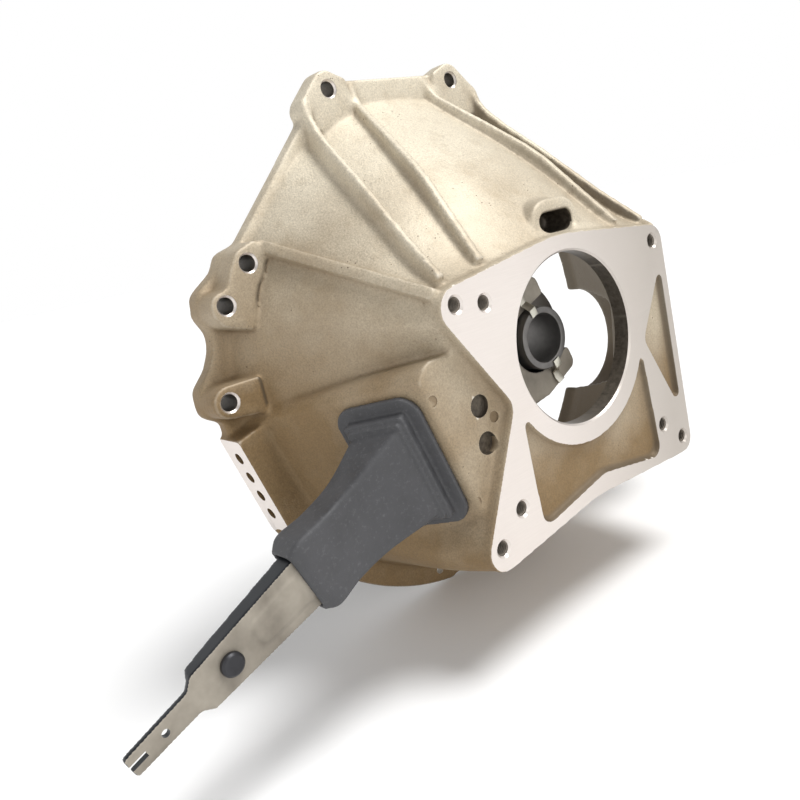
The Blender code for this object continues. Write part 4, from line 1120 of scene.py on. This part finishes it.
def camera():
    """The housing seen from behind, above and the left, with the view widened to take in the fork."""
    looking = Matrix(((0, 1, 0), (0, 0, -1), (-1, 0, 0)))
    lean = Matrix.Rotation(ROLL, 3, "Z") @ Matrix.Rotation(PITCH, 3, "X")
    turn = lean @ looking @ Matrix.Rotation(YAW, 3, "Z")
    placed = Matrix((turn[0], -turn[1], -turn[2])).transposed().to_4x4()
    placed.translation = Vector(EYE)
    data = bpy.data.cameras.new("camera")
    data.sensor_width = 36
    data.lens = LENS * WIDENED
    data.shift_x = -0.05
    data.shift_y = -0.044
    data.clip_start = 0.01
    eye = bpy.data.objects.new("camera", data)
    bpy.context.scene.collection.objects.link(eye)
    eye.matrix_world = placed
    bpy.context.scene.camera = eye


# name, direction that the light comes from, its apparent width in degrees, strength
LIGHTS = (("key", (0.35, 0.25, 0.9), 24, 2.7), ("face_fill", (1.0, -0.25, 0.35), 40, 0.5))


def studio():
    paint = Paint("pale_floor", 0.9, 0.0)
    colour = paint.mix(paint.noise(3, 2), (0.86, 0.86, 0.86), (0.88, 0.88, 0.88))
    floor_material = paint.finish(colour)
    bm = bmesh.new()
    bmesh.ops.create_grid(bm, x_segments=1, y_segments=1, size=12)
    mesh = bpy.data.meshes.new("floor")
    bm.to_mesh(mesh)
    bm.free()
    floor = bpy.data.objects.new("floor", mesh)
    bpy.context.scene.collection.objects.link(floor)
    floor.location.z = CAD_BOX[0][2] - 0.0002
    floor.data.materials.append(floor_material)
    world = bpy.data.worlds.new("studio")
    world.use_nodes = True
    background = world.node_tree.nodes["Background"]
    background.inputs["Strength"].default_value = 1.0
    tree = world.node_tree
    direction = tree.nodes.new("ShaderNodeTexCoord").outputs["Generated"]
    split = tree.nodes.new("ShaderNodeSeparateXYZ")
    height = tree.nodes.new("ShaderNodeMapRange")
    for name, number in (("From Min", 0.36), ("From Max", 0.70), ("To Min", 1.0), ("To Max", 0.30)):
        height.inputs[name].default_value = number
    tree.links.new(direction, split.inputs[0])
    tree.links.new(split.outputs[2], height.inputs["Value"])
    tree.links.new(height.outputs["Result"], background.inputs["Color"])
    bpy.context.scene.world = world
    for name, towards, angle, strength in LIGHTS:
        light = bpy.data.lights.new(name, "SUN")
        light.angle = math.radians(angle)
        light.energy = strength
        lamp = bpy.data.objects.new(name, light)
        bpy.context.scene.collection.objects.link(lamp)
        lamp.rotation_euler = Vector(towards).to_track_quat("Z", "Y").to_euler()


def main():
    cast, machined = cast_aluminium(), machined_aluminium()
    plated = worn_metal("zinc_plate", (0.42, 0.40, 0.34), (0.66, 0.63, 0.55), 0.38, 1.0)
    dark = worn_metal("blackened_steel", (0.02, 0.02, 0.022), (0.06, 0.06, 0.065), 0.42, 0.7)
    iron = worn_metal("oiled_iron", (0.12, 0.115, 0.11), (0.24, 0.23, 0.22), 0.45, 0.9)
    ground = worn_metal("ground_steel", (0.62, 0.62, 0.64), (0.74, 0.74, 0.76), 0.18, 1.0, 20, 1200)
    brass = worn_metal("cage_brass", (0.50, 0.34, 0.13), (0.68, 0.50, 0.22), 0.35, 1.0)
    web = worn_metal("fork_web", (0.17, 0.148, 0.118), (0.36, 0.325, 0.27), 0.5, 0.35, 28)
    # Near-black for the fork's flanges and other faces that look away from +X: painted shade.
    flange = worn_metal("fork_painted_shade", (0.008, 0.010, 0.013), (0.022, 0.024, 0.028), 0.35, 0.2)
    # Near-black brown for faces in holes and the bore: painted shade.
    drilled = worn_metal("hole_painted_shade", (0.045, 0.036, 0.026), (0.13, 0.108, 0.082), 0.45, 0.5, 300)
    bellhousing(cast, machined, drilled)
    tapped_threads(drilled)
    clutch_fork(web, flange)
    fork_fittings(plated, dark)
    pivot_bracket(plated, dark)
    release_bearing(iron, ground, brass, dark, plated)
    fork_boot(boot_rubber())
    camera()
    studio()
    bpy.context.scene.view_settings.view_transform = "Standard"


main()
